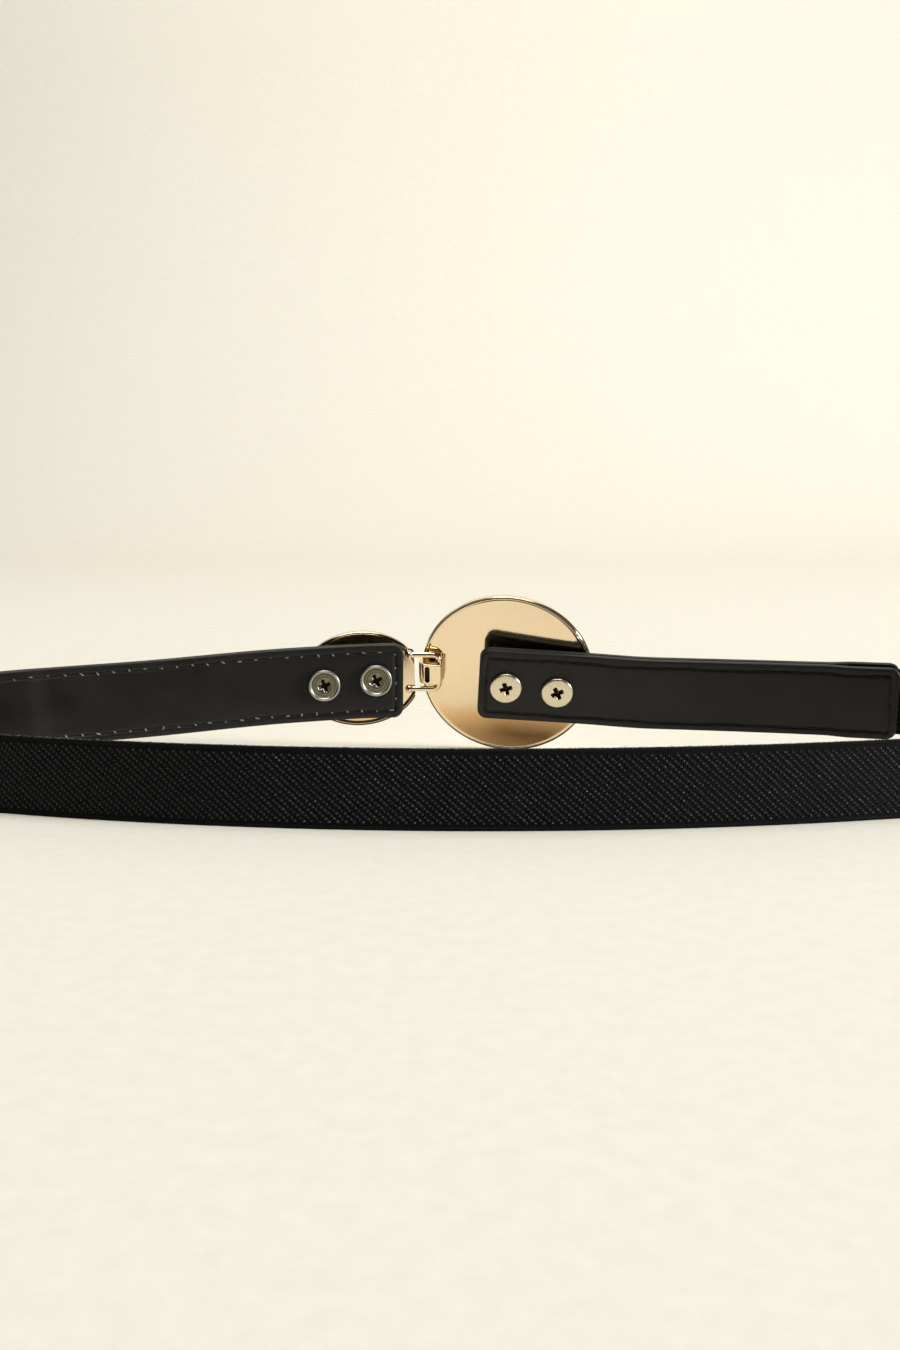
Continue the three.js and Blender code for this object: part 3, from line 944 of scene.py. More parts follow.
@dataclass
class BuckleLayout:
    """Where tabs, discs and screws sit along the strap. Millimetres and degrees."""

    course: StrapCourse
    right_start: float = -0.8
    tab_spacing: float = 22.3
    leather: float = 1.6
    gap: float = 0.3
    large_diameter: float = 51.8
    large_overhang: float = 17.55
    large_lean: float = 4.5
    large_yaw: float = -7.0
    large_roll: float = 2.7
    large_post: float = 3.9
    small_inset: float = 12.5
    small_drop: float = 0.9
    small_lean: float = 2.0
    small_yaw: float = 3.0
    small_post: float = 5.0
    screw_inset: float = 8.0
    screw_spacing: float = 15.2

    def __post_init__(self) -> None:
        """Set the strap's rise so that the large disc stands on the ground."""
        self.face = (self.gap + self.leather) / 2 + self.leather / 2
        self.disc_place = self.place(Tab.RIGHT, self.large_diameter / 2 - self.large_overhang)
        strap_lean = math.radians(float(self.course.column("lean", np.array([self.disc_place]))[0]))
        height = self.large_diameter / 2 * math.cos(strap_lean + math.radians(self.large_lean))
        seat = self.face + self.large_post
        self.course.disc_rise = height - seat * math.sin(strap_lean) - self.course.width / 2

    def place(self, tab: Tab, inset: float | np.ndarray) -> float | np.ndarray:
        """Place along the strap at an inset from a tab's start.

        Args:
            tab: Which tab.
            inset: Length from its start.

        Returns:
            The place.
        """
        start = self.right_start - (self.tab_spacing if tab is Tab.LEFT else 0)
        return start + tab.value * inset

    def large_frame(self) -> Matrix:
        """Frame of the large disc: z towards the wearer, origin at the middle of its back.

        Returns:
            The frame, raised or lowered so that the disc touches the ground.
        """
        seat = self.course.matrix(self.disc_place)
        made = moved(
            seat, (0, 0, -self.face - self.large_post), self.large_lean, self.large_yaw, self.large_roll
        )
        radius, edge = self.large_diameter / 2, -0.4
        lowest = made[2][3] + edge * made[2][2] - radius * math.hypot(made[2][0], made[2][1])
        return Matrix.Translation((0, 0, -lowest)) @ made

    def small_frame(self) -> Matrix:
        """Frame of the small disc, as the large one's."""
        seat = self.course.matrix(self.place(Tab.LEFT, self.small_inset))
        return moved(
            seat, (0, -self.small_drop, -self.face - self.small_post), self.small_lean, self.small_yaw
        )

    def screw_frame(self, tab: Tab, order: int, across: float) -> Matrix:
        """Frame of a screw at the middle of its tab's thickness."""
        place = self.place(tab, self.screw_inset + order * self.screw_spacing)
        return moved(self.course.matrix(place), (0, across, 0))


# Elastic webbing


@dataclass
class ElasticWebbing:
    """The elastic: a woven ground with rolled selvages, and diagonal ribs of rounded floats on both faces."""

    layout: BuckleLayout
    tab_length: float = 120.0
    tuck: float = 12.0
    ground_half: float = 0.46
    selvage_width: float = 1.1
    selvage_half: float = 0.66
    station_step: float = 1.25
    rib_pitch: float = 2.05
    row_pitch: float = 0.7
    row_shift: float = 0.76
    field_half: float = 8.1
    float_half: tuple[float, float] = (0.5, 0.4)
    float_height: float = 0.32
    hairs_per_mm: float = 6.0
    hair: float = 0.035

    def ends(self) -> tuple[float, float]:
        """Places of the two ends, the second past half a loop so that they run in one direction."""
        course = self.layout.course
        start = self.layout.place(Tab.RIGHT, self.tab_length - self.tuck)
        return start, self.layout.place(Tab.LEFT, self.tab_length - self.tuck) + 2 * course.half_loop

    def ground(self, material: bpy.types.Material) -> bpy.types.Object:
        """Build the woven ground with its two rolled selvages.

        Args:
            material: Its material.

        Returns:
            The piece.
        """
        course = self.layout.course
        start, end = self.ends()
        stations = np.linspace(start, end, int((end - start) / self.station_step) + 1)
        half = course.width / 2
        inner = half - self.selvage_width
        roll = np.linspace(0, math.pi, 9)
        bead = self.selvage_width / 2
        across_half = inner + bead - bead * np.cos(roll)
        thick_half = self.ground_half * 0.4 + (self.selvage_half - self.ground_half * 0.4) * np.sin(roll)
        thick_half[0] = self.ground_half * 0.9
        flat = np.linspace(-inner, inner, 9)[1:-1]
        across = np.concatenate([-across_half[::-1], flat, across_half])
        thick = np.concatenate([thick_half[::-1], np.full(len(flat), self.ground_half), thick_half])
        ring_across = np.concatenate([across, across[::-1]])
        ring_in = np.concatenate([thick, -thick[::-1]])
        place, ring = np.meshgrid(stations, np.arange(len(ring_across)), indexing="ij")
        points = course.points(place.ravel(), ring_across[ring].ravel(), ring_in[ring].ravel())
        uv = np.stack([place.ravel(), ring_across[ring].ravel()], axis=1)
        sides = len(ring_across)
        faces = grid_faces(len(stations), sides, closed=True)
        last = (len(stations) - 1) * sides
        faces += [list(reversed(range(sides))), [last + k for k in range(sides)]]
        parts = MeshParts()
        parts.add(points, faces, uv=uv)
        return parts.object("elastic_ground", [material])

    def ribs(self, name: str, face: int, material: bpy.types.Material) -> bpy.types.Object:
        """Build the ribs of one face.

        Args:
            name: Name of the piece.
            face: 1 for the face towards the wearer, -1 for the outer face.
            material: Its material.

        Returns:
            The piece.
        """
        course = self.layout.course
        start, end = self.ends()
        start, end = start + 1.0, end - 1.0
        rows = int(2 * self.field_half / self.row_pitch) + 1
        heights = (np.arange(rows) - (rows - 1) / 2) * self.row_pitch
        columns = int((end - start) / self.rib_pitch) - 1
        rng = np.random.default_rng(RIB_SEED)
        row, column = np.meshgrid(np.arange(rows), np.arange(columns), indexing="ij")
        # Seen from outside, the ribs run down to the right on the near side
        drift = -face * row * self.row_shift
        middle = start + 1.5 + (column * self.rib_pitch + drift) % (columns * self.rib_pitch)
        across = heights[row] + rng.normal(0, 0.03, row.shape)
        middle = middle + rng.normal(0, 0.04, row.shape)
        size = rng.normal(1.0, 0.06, row.shape)
        keep = (middle > start + 1) & (middle < end - 1)
        middle, across, size = middle[keep], across[keep], size[keep]
        tilt = -face * math.atan2(self.row_pitch, self.row_shift)
        # Outline rings of one float: share of its half size and share of its height
        rings = ((1.0, -0.15), (0.72, 0.62))
        sides = 8
        crown = len(rings) * sides
        turn = 2 * np.pi * np.arange(sides) / sides
        local = [
            (share * np.cos(turn), share * np.sin(turn), np.full(sides, lift)) for share, lift in rings
        ]
        u = np.concatenate([ring[0] for ring in local] + [[0.0]])
        v = np.concatenate([ring[1] for ring in local] + [[0.0]])
        w = np.concatenate([ring[2] for ring in local] + [[1.0]])
        long = u * self.float_half[0]
        wide = v * self.float_half[1]
        step_s = long * math.cos(tilt) - wide * math.sin(tilt)
        step_a = long * math.sin(tilt) + wide * math.cos(tilt)
        place = middle[:, None] + size[:, None] * step_s[None, :]
        rise = across[:, None] + size[:, None] * step_a[None, :]
        lift = face * (self.ground_half + self.float_height * w[None, :] * size[:, None])
        points = course.points(place.ravel(), rise.ravel(), lift.ravel())
        each = grid_faces(len(rings), sides, closed=True, flip=face < 0)
        cap = [[sides + k, sides + (k + 1) % sides, crown] for k in range(sides)]
        each += [face_points[::-1] for face_points in cap] if face < 0 else cap
        faces = [[(crown + 1) * i + k for k in one] for i in range(len(middle)) for one in each]
        parts = MeshParts()
        parts.add(points, faces, uv=np.stack([place.ravel(), rise.ravel()], axis=1))
        return parts.object(name, [material], sharp_deg=80)

    def fuzz(self, material: bpy.types.Material) -> bpy.types.Object:
        """Build the stray filaments that stand off both selvages.

        Args:
            material: Their material.

        Returns:
            The piece.
        """
        course = self.layout.course
        start, end = self.ends()
        rng = np.random.default_rng(FUZZ_SEED)
        count = int((end - start) * self.hairs_per_mm)
        parts = MeshParts()
        share = np.linspace(0, 1, 4)
        for side in (1, -1):
            roots = rng.uniform(start + 13, end - 13, count)
            length = rng.uniform(0.2, 0.65, count)
            drift = rng.normal(0, 0.7, count)
            lean = rng.normal(0, 0.55, count)
            inward = rng.uniform(-0.55, 0.55, count)
            for root, l, d, n, w in zip(roots, length, drift, lean, inward):
                place = root + d * share * l
                across = side * (course.width / 2 - 0.1 + share * l * 0.7 - 0.35 * l * share**2)
                path = course.points(place, across, w + n * l * share**2)
                points, faces = tube(path, np.full(4, self.hair), 3)
                parts.add(points, faces)
        return parts.object("elastic_selvage_fuzz", [material], sharp_deg=180)


# Leather tabs


class Layer(Enum):
    """The two layers of a tab: towards the wearer, and outwards."""

    INNER = 1
    OUTER = -1


@dataclass
class LeatherTab:
    """A tab: two sewn layers of leather that spread round the end of the elastic."""

    layout: BuckleLayout
    tab: Tab
    length: float = 120.0
    width: float = 22.0
    corner: float = 3.0
    tuck: float = 12.0
    taper: float = 8.0
    edge_round: float = 0.5
    seam_inset: float = 2.3
    seam_depth: float = 0.38
    seam_width: float = 0.34
    stitch_pitch: float = 4.5
    stitch_gap: float = 0.7
    stitch_slant: float = 0.28
    loop_length: float = 1.2
    loop_slant: float = 0.45
    thread: float = 0.5

    def spread(self, inset: np.ndarray) -> np.ndarray:
        """How far a layer moves out where the elastic lies between the two.

        Args:
            inset: Lengths from the tab's start.

        Returns:
            The move at each.
        """
        start = self.length - self.tuck - self.layout.gap
        t = np.clip((inset - (start - self.taper)) / self.taper, 0, 1)
        return t * t * (3 - 2 * t) * (self.layout.course.thickness + self.layout.gap) / 2

    def offset(self, layer: Layer, inset: np.ndarray) -> np.ndarray:
        """Offset of a layer's middle towards the wearer."""
        return layer.value * ((self.layout.gap + self.layout.leather) / 2 + self.spread(inset))

    def edge_distance(self, x: np.ndarray, y: np.ndarray) -> np.ndarray:
        """Distance of points of the flat tab from its edge.

        Args:
            x: Lengths from its start.
            y: Heights from its middle.

        Returns:
            The distance of each, positive inside.
        """
        qx = np.abs(x - self.length / 2) - (self.length / 2 - self.corner)
        qy = np.abs(y) - (self.width / 2 - self.corner)
        outside = np.hypot(np.maximum(qx, 0), np.maximum(qy, 0))
        return self.corner - outside - np.minimum(np.maximum(qx, qy), 0)

    def waver(self, x: np.ndarray, y: np.ndarray) -> np.ndarray:
        """Small wander of the seam line, as a hand-guided machine leaves."""
        phase = 0.9 if self.tab is Tab.LEFT else 0.0
        return 0.12 * np.sin(x / 5.3 + phase + 0.4 * y) + 0.07 * np.sin(x / 2.1 + 2 * phase - 0.2 * y)

    def steps(self, length: float, middle_step: float) -> np.ndarray:
        """Grid lines across a length, close together near both edges and at the seam.

        Args:
            length: The length.
            middle_step: Step between the lines in the middle.

        Returns:
            Their places.
        """
        near = [0, 0.07, 0.18, 0.34, 0.55, 0.9, 1.35, 1.7, 1.92, 2.1, 2.28, 2.46, 2.66, 2.9, 3.25, 3.8]
        count = int((length - 2 * near[-1]) / middle_step)
        middle = np.linspace(near[-1], length - near[-1], count + 1)
        return np.concatenate([near[:-1], middle, [length - n for n in near[:-1]][::-1]])

    def flat_grid(self) -> tuple[np.ndarray, np.ndarray]:
        """Points of the flat tab, with its corner squares pulled onto round corners.

        Returns:
            Their x and their y.
        """
        x, y = np.meshgrid(
            self.steps(self.length, 0.75), self.steps(self.width, 1.2) - self.width / 2, indexing="ij"
        )
        half = self.width / 2
        u = np.clip(np.maximum(self.corner - x, x - (self.length - self.corner)) / self.corner, 0, 1)
        v = np.clip((np.abs(y) - (half - self.corner)) / self.corner, 0, 1)
        in_corner = (u > 0) & (v > 0)
        round_u = self.corner * u * np.sqrt(1 - v * v / 2)
        round_v = self.corner * v * np.sqrt(1 - u * u / 2)
        end_x = np.where(x < self.length / 2, self.corner - round_u, self.length - self.corner + round_u)
        end_y = np.sign(y) * (half - self.corner + round_v)
        return np.where(in_corner, end_x, x), np.where(in_corner, end_y, y)

    def seam_path(self) -> np.ndarray:
        """Line of the seam, as closely spaced points of the flat tab.

        Returns:
            One row of x and y for each.
        """
        inset, corner = self.seam_inset, 1.4
        left, right = inset + corner, self.length - inset - corner
        top = self.width / 2 - inset - corner
        line = []
        line += arc((right, top), corner, 90, 0, 8)
        line += arc((right, -top), corner, 0, -90, 8)
        line += arc((left, -top), corner, -90, -180, 8)
        line += arc((left, top), corner, 180, 90, 8)
        line.append(line[0])
        corners = np.array(line)
        steps = np.linalg.norm(np.diff(corners, axis=0), axis=1)
        total = np.concatenate([[0], np.cumsum(steps)])
        fine = np.linspace(0, total[-1], int(total[-1] / 0.15))
        path = np.stack([np.interp(fine, total, corners[:, i]) for i in (0, 1)], axis=1)
        # The waver moves the line in and out, away from the middle of the tab
        sway = self.waver(path[:, 0], path[:, 1])
        on_side = np.abs(path[:, 1]) > top
        path[:, 1] += np.where(on_side, np.sign(path[:, 1]) * -sway, 0)
        path[:, 0] += np.where(on_side, 0, np.sign(self.length / 2 - path[:, 0]) * sway)
        return path

    def stitches(self, length: float, slant: float) -> list[np.ndarray]:
        """Points of the flat tab that each stitch runs through.

        Args:
            length: Length of each stitch along the seam.
            slant: How far each end lies to the side of the seam.

        Returns:
            Nine points for each stitch.
        """
        path = self.seam_path()
        total = np.concatenate([[0], np.cumsum(np.linalg.norm(np.diff(path, axis=0), axis=1))])
        count = round(total[-1] / self.stitch_pitch)
        pitch = total[-1] / count
        made = []
        for k in range(count):
            share = np.linspace(-1, 1, 9)
            at = (k + 0.5) * pitch + share * length / 2
            line = np.stack([np.interp(at, total, path[:, i]) for i in (0, 1)], axis=1)
            way = (line[-1] - line[0]) / np.linalg.norm(line[-1] - line[0])
            made.append(line + np.outer(share * slant, [-way[1], way[0]]))
        return made

    def layer_object(
        self, layer: Layer, name: str, face: bpy.types.Material, edge: bpy.types.Material
    ) -> bpy.types.Object:
        """Build one layer.

        Args:
            layer: Which layer.
            name: Name of the piece.
            face: Material of its faces.
            edge: Material of its cut edge.

        Returns:
            The piece.
        """
        x, y = self.flat_grid()
        rows, columns = x.shape
        distance = self.edge_distance(x, y)
        inner = np.clip(self.edge_round - distance, 0, self.edge_round)
        drop = self.edge_round - np.sqrt(np.maximum(self.edge_round**2 - inner**2, 0))
        seam = (distance - self.seam_inset + self.waver(x, y)) / self.seam_width
        groove = self.seam_depth * np.exp(-(seam**2))
        # The leather swells a little between the seam and the edge, and dimples at the needle holes
        swell = 0.05 * np.exp(-(((distance - 1.2) / 0.7) ** 2)) + 0.06 * np.clip(distance / 6, 0, 1)
        stitches = self.stitches(self.stitch_pitch - self.stitch_gap, self.stitch_slant)
        holes = np.array([stitch[end] for stitch in stitches for end in (0, -1)])
        to_hole = np.sqrt(
            ((x[..., None] - holes[:, 0]) ** 2 + (y[..., None] - holes[:, 1]) ** 2).min(axis=-1)
        )
        dimple = 0.16 * np.exp(-((to_hole / 0.5) ** 2))
        half = self.layout.leather / 2
        shown = half - drop - groove - dimple + swell - 0.06
        hidden = half - drop
        middle = self.offset(layer, x)
        place = self.layout.place(self.tab, x)
        parts = MeshParts()
        count = rows * columns
        flip = self.tab is Tab.LEFT
        course = self.layout.course
        uv = np.stack([x.ravel(), y.ravel()], axis=1)
        top = course.points(place.ravel(), y.ravel(), (middle + layer.value * shown).ravel())
        bottom = course.points(place.ravel(), y.ravel(), (middle - layer.value * hidden).ravel())
        turn_top = flip ^ (layer is Layer.OUTER)
        points = np.concatenate([top, bottom])
        faces = grid_faces(rows, columns, flip=turn_top)
        back = grid_faces(rows, columns, flip=not turn_top, start=count)
        rim = list(range(columns))
        rim += [i * columns + columns - 1 for i in range(1, rows)]
        rim += [(rows - 1) * columns + k for k in reversed(range(columns - 1))]
        rim += [i * columns for i in reversed(range(1, rows - 1))]
        wall = [[a, b, count + b, count + a] for a, b in zip(rim, rim[1:] + rim[:1])]
        if not turn_top:
            wall = [one[::-1] for one in wall]
        slots = [0] * (2 * len(faces)) + [1] * len(wall)
        parts.add(points, faces + back + wall, slots, uv=np.concatenate([uv, uv]))
        return parts.object(name, [face, edge], sharp_deg=60)

    def thread_object(self, layer: Layer, name: str, material: bpy.types.Material) -> bpy.types.Object:
        """Build the stitches that show on one layer.

        Args:
            layer: Which layer.
            name: Name of the piece.
            material: Its thread.

        Returns:
            The piece.
        """
        parts = MeshParts()
        half = self.layout.leather / 2
        # The needle side shows long stitches in a channel, the looper side short bits at the holes
        looper = self.tab is Tab.LEFT and layer is Layer.INNER
        length = self.loop_length if looper else self.stitch_pitch - self.stitch_gap
        slant = self.loop_slant if looper else self.stitch_slant
        rng = np.random.default_rng(LOOP_SEED)
        for stitch in self.stitches(length, slant):
            share = np.linspace(-1, 1, len(stitch))
            lift = half - self.seam_depth + (0.3 if looper else 0.1) - 0.34 * np.abs(share) ** 4
            if looper:
                # Loops pull tight unevenly: some stand proud and long, others nearly vanish
                middle, size, sink = stitch.mean(axis=0), rng.uniform(0.3, 1.0), rng.uniform(-0.02, 0.22)
                spin = rng.normal(0, 0.5)
                twist = np.array([[math.cos(spin), -math.sin(spin)], [math.sin(spin), math.cos(spin)]])
                stitch = middle + (stitch - middle) * size @ twist.T + rng.normal(0, 0.12, 2)
                lift = lift - sink
            x, y = stitch[:, 0], stitch[:, 1]
            offset = self.offset(layer, x) + layer.value * lift
            path = self.layout.course.points(self.layout.place(self.tab, x), y, offset)
            _, _, _, inward = self.layout.course.frames(self.layout.place(self.tab, x[4:5]))
            radius = self.thread / 2 * (1 - 0.25 * np.abs(share) ** 3)
            points, faces = tube(path, radius, 6, flat=0.8, up=inward[0])
            parts.add(points, faces)
        return parts.object(name, [material], sharp_deg=70)


# Cast discs


@dataclass(frozen=True)
class DiscSection:
    """Section that both discs share. The back is at height 0 and the front below it. Millimetres."""

    thickness: float = 2.2
    dome: float = 0.7
    lip_width: float = 1.1
    lip_height: float = 0.3
    front_bevel: float = 0.7
    groove_depth: float = 0.3
    field_rings: int = 2
    groove_rings: tuple[int, int] = (8, 11)

    def rings(self) -> list[tuple[float, float]]:
        """Inset from the edge and height of each ring, from the back's middle to the front's."""
        lip, low = self.lip_width, -self.lip_height
        back = [(lip + 1.6, low), (lip + 0.5, low), (lip + 0.28, low + 0.02), (lip + 0.05, low + 0.09)]
        crest = [(lip - 0.2, -0.07), (lip - 0.32, -0.015), (lip - 0.42, 0.0), (0.6, 0.0), (0.55, -0.04)]
        groove = [(0.47, -self.groove_depth), (0.3, -self.groove_depth), (0.24, -0.05)]
        side = [
            (0.18, -0.03),
            (0.1, -0.08),
            (0.03, -0.2),
            (0.0, -0.36),
            (0.0, self.front_bevel - self.thickness),
        ]
        bevel = [
            (self.front_bevel * (1 - math.cos(a)), -self.thickness + self.front_bevel * (1 - math.sin(a)))
            for a in np.radians([20, 40, 60, 78])
        ]
        return [*back, *crest, *groove, *side, *bevel]


@dataclass
class CastDisc:
    """A cast disc, round or oval, with posts for its two screws."""

    layout: BuckleLayout
    tab: Tab
    half: tuple[float, float]
    frame: Matrix
    section: DiscSection = field(default_factory=DiscSection)
    segments: int = 180
    post_diameter: float = 5.6
    post_foot: float = 0.8
    bore: float = 3.4
    screw_across: tuple[float, float] = (0.0, 0.0)

    def body(self) -> tuple[np.ndarray, list, list]:
        """Points and faces of the disc itself, and each face's material slot.

        Returns:
            Points, faces and slots.
        """
        turn = 2 * np.pi * np.arange(self.segments) / self.segments
        rings = []
        for inset, height in self.section.rings():
            a, b = self.half[0] - inset, self.half[1] - inset
            rings.append(
                np.stack([a * np.cos(turn), b * np.sin(turn), np.full(self.segments, height)], axis=1)
            )
        edge = self.section.front_bevel
        for share in (0.9, 0.75, 0.6, 0.45, 0.3, 0.15):
            height = -self.section.thickness - self.section.dome * (1 - share**2)
            a, b = (self.half[0] - edge) * share, (self.half[1] - edge) * share
            rings.append(
                np.stack([a * np.cos(turn), b * np.sin(turn), np.full(self.segments, height)], axis=1)
            )
        points = np.concatenate([*rings, [[0, 0, -self.section.thickness - self.section.dome]]])
        faces = grid_faces(len(rings), self.segments, closed=True, flip=True)
        last, tip = (len(rings) - 1) * self.segments, len(rings) * self.segments
        faces.append(list(range(self.segments)))
        for k in range(self.segments):
            faces.append([tip, last + (k + 1) % self.segments, last + k])
        first, end = self.section.groove_rings
        slots = []
        for i, face in enumerate(faces):
            ring = i // self.segments
            in_field = ring < self.section.field_rings or len(face) == self.segments
            # The groove round the lip takes the dark brown painted shade, and the back's field the gold with
            # painted brown shade towards its lower edge
            slots.append(1 if in_field else 2 if first <= ring < end else 0)
        return points, faces, slots

    def add_posts(self, parts: MeshParts) -> None:
        """Add the posts, each square to the tab, flared where it meets the disc.

        Args:
            parts: What gets them.
        """
        inverse = self.frame.inverted()
        r = self.post_diameter / 2
        for order, across in enumerate(self.screw_across):
            screw = self.layout.screw_frame(self.tab, order, across)
            local = inverse @ screw
            top = -self.layout.face - self.layout.gap
            axis = local.col[2].to_3d()
            start = local @ Vector((0, 0, top))
            foot = top - (start.z + self.section.lip_height) / axis.z
            profile = [
                (0, top - 1.5),
                (self.bore / 2, top - 1.5),
                (self.bore / 2, top - 0.1),
                (self.bore / 2 + 0.15, top),
                (r - 0.25, top),
                (r, top - 0.25),
                (r, foot + self.post_foot),
                (r + 0.12, foot + self.post_foot * 0.5),
                (r + 0.4, foot + 0.12),
                (r + self.post_foot, foot - 0.02),
                (r, foot - 0.6),
                (0, foot - 0.6),
            ]
            points, faces = turned(profile, 40)
            parts.add(transform(points, screw), faces)


@dataclass
class ClaspHook:
    """Hook cast on the large disc: a bend that rises through the wire loop and a tongue over its bar."""

    width: float = 6.6
    thickness: float = 1.1
    reach: float = 6.1
    overhang: float = 0.4
    clearance: float = 0.5
    slot_width: float = 1.5
    slot_margin: float = 0.6
    slot_floor: float = 0.2
    rise: float = 0.6
    soften: float = 0.28

    def object(
        self, disc: CastDisc, loop: "WireLoop", materials: list[bpy.types.Material]
    ) -> bpy.types.Object:
        """Build the hook in the row frame.

        Args:
            disc: The disc that it is cast on.
            loop: The wire loop that it holds.
            materials: The disc's material slots. The slot's walls get the third, a dark brown painted shade.

        Returns:
            The hook as an object of its own, to be joined to the disc.
        """
        edge = -disc.half[0]
        outside = edge - self.overhang
        inside = outside + self.thickness + 0.4
        under = loop.standoff + loop.diameter / 2 + self.clearance
        top = under + self.thickness
        tip = edge + self.reach
        foot = -disc.section.thickness / 2
        bend = 2.1
        outline = [(edge + 1.4, foot), (inside, -disc.section.lip_height - 0.05)]
        outline += arc((inside + 1.1, under - 1.1), 1.1, 180, 90, 8)
        outline += arc((tip, under + self.thickness / 2), self.thickness / 2, -90, 90, 8)
        outline += arc((outside + bend, top - bend), bend, 90, 180, 12)
        outline += arc((outside + 1.0, foot + 1.0), 1.0, 180, 270, 6)
        points, faces = extruded(np.array(outline), self.width)
        points = points - [0, 0, self.width / 2]
        stand = Matrix.Translation((0, self.rise, 0)) @ Matrix.Rotation(math.radians(90), 4, "X")
        parts = MeshParts()
        parts.add(transform(points, stand), faces)
        made = parts.object("clasp_hook", materials, sharp_deg=30)
        ease = made.modifiers.new("ease", "BEVEL")
        ease.width = self.soften * MM
        ease.segments = 3
        ease.limit_method = "ANGLE"
        ease.angle_limit = math.radians(60)
        apply_modifiers(made)
        high = self.width - 2 * self.slot_margin
        slot = MeshParts()
        r = self.slot_width / 2
        middle = inside + 0.55 + r
        line = arc((middle, high / 2 - r), r, 0, 180, 8) + arc((middle, -high / 2 + r), r, 180, 360, 8)
        points, faces = extruded(np.array(line), 3 * self.thickness)
        # The slot's walls take the dark brown painted shade
        slot.add(points + [0, self.rise, under + self.slot_floor], faces, [2] * len(faces))
        cut_with(made, slot.object("hook_slot", materials))
        made.data.transform(scaled(disc.frame))
        return made


@dataclass
class WireLoop:
    """Wire loop cast on the small disc, open towards it, with an ear at the end of each arm."""

    diameter: float = 1.7
    length: float = 10.8
    height: float = 12.8
    corner: float = 3.2
    standoff: float = 1.6
    overhang: float = 0.5
    lean: float = -4.0
    yaw: float = 10.0
    ear: float = 2.3
    ear_depth: float = 2.0

    def frame(self, disc: CastDisc, hook: ClaspHook) -> Matrix:
        """Frame of the loop, with its origin in the bar that the hook holds."""
        bar = hook.reach - disc.half[0] + self.overhang - self.diameter / 2
        return moved(disc.frame, (bar, hook.rise, self.standoff), self.lean, self.yaw)

    def add_to(self, parts: MeshParts, base: Matrix) -> None:
        """Add the wire and its ears.

        Args:
            parts: What gets them.
            base: The loop's frame.
        """
        left = self.diameter - self.length
        reach = (self.height - self.diameter) / 2
        r = self.corner - self.diameter / 2
        line = [(left, reach, 0), (left * 0.6, reach, 0), (-r - 1.0, reach, 0)]
        line += [(x, y, 0) for x, y in arc((-r, reach - r), r, 90, 0, 10)]
        line += [(0, y, 0) for y in np.linspace(reach - r - 0.8, r + 0.8 - reach, 6)]
        line += [(x, y, 0) for x, y in arc((-r, r - reach), r, 0, -90, 10)]
        line += [(-r - 1.0, -reach, 0), (left * 0.6, -reach, 0), (left, -reach, 0)]
        path = np.array(line)
        points, faces = tube(path, np.full(len(path), self.diameter / 2), 20)
        parts.add(transform(points, base), faces)
        e = self.ear / 2
        profile = [(0, e), (e * 0.42, e * 0.92), (e * 0.75, e * 0.66), (e * 0.95, e * 0.25), (e, -0.1)]
        profile += [
            (e, -0.8), (e * 1.12, -1.2), (e * 1.2, -self.ear_depth + 0.2), (0, -self.ear_depth + 0.2)
        ]
        for side in (reach, -reach):
            points, faces = turned(profile, 32)
            parts.add(transform(points + [left, side, 0], base), faces)


def scaled(matrix: Matrix) -> Matrix:
    """The same frame with its place in metres, for a mesh that is already in metres.

    Args:
        matrix: A frame in millimetres.

    Returns:
        Its copy.
    """
    made = matrix.copy()
    for i in range(3):
        made[i][3] *= MM
    return made


def join(base: bpy.types.Object, other: bpy.types.Object) -> None:
    """Move another object's faces into the base object.

    Args:
        base: The object that grows.
        other: The one that goes.
    """
    both = bmesh.new()
    both.from_mesh(base.data)
    both.from_mesh(other.data)
    both.to_mesh(base.data)
    both.free()
    bpy.data.objects.remove(other, do_unlink=True)


def cut_end(piece: bpy.types.Object, base: Matrix, at: float) -> None:
    """Cut a disc straight across at a length along its own x axis, and close it.

    Args:
        piece: The disc.
        base: Its frame, in millimetres.
        at: Where the cut is.
    """
    mesh = bmesh.new()
    mesh.from_mesh(piece.data)
    where = scaled(base) @ Vector((at * MM, 0, 0))
    normal = base.col[0].to_3d()
    every = mesh.verts[:] + mesh.edges[:] + mesh.faces[:]
    bmesh.ops.bisect_plane(mesh, geom=every, plane_co=where, plane_no=normal, clear_outer=True)
    rim = [edge for edge in mesh.edges if edge.is_boundary]
    bmesh.ops.holes_fill(mesh, edges=rim, sides=0)
    bmesh.ops.bevel(
        mesh, geom=[e for e in rim if e.is_valid], offset=0.15 * MM, segments=2, affect="EDGES"
    )
    mesh.to_mesh(piece.data)
    mesh.free()
    shade_smooth(piece.data, 35)


# Screws


class HeadStyle(Enum):
    """The two kinds of screw head."""

    RIMMED = "rimmed"
    FLAT = "flat"


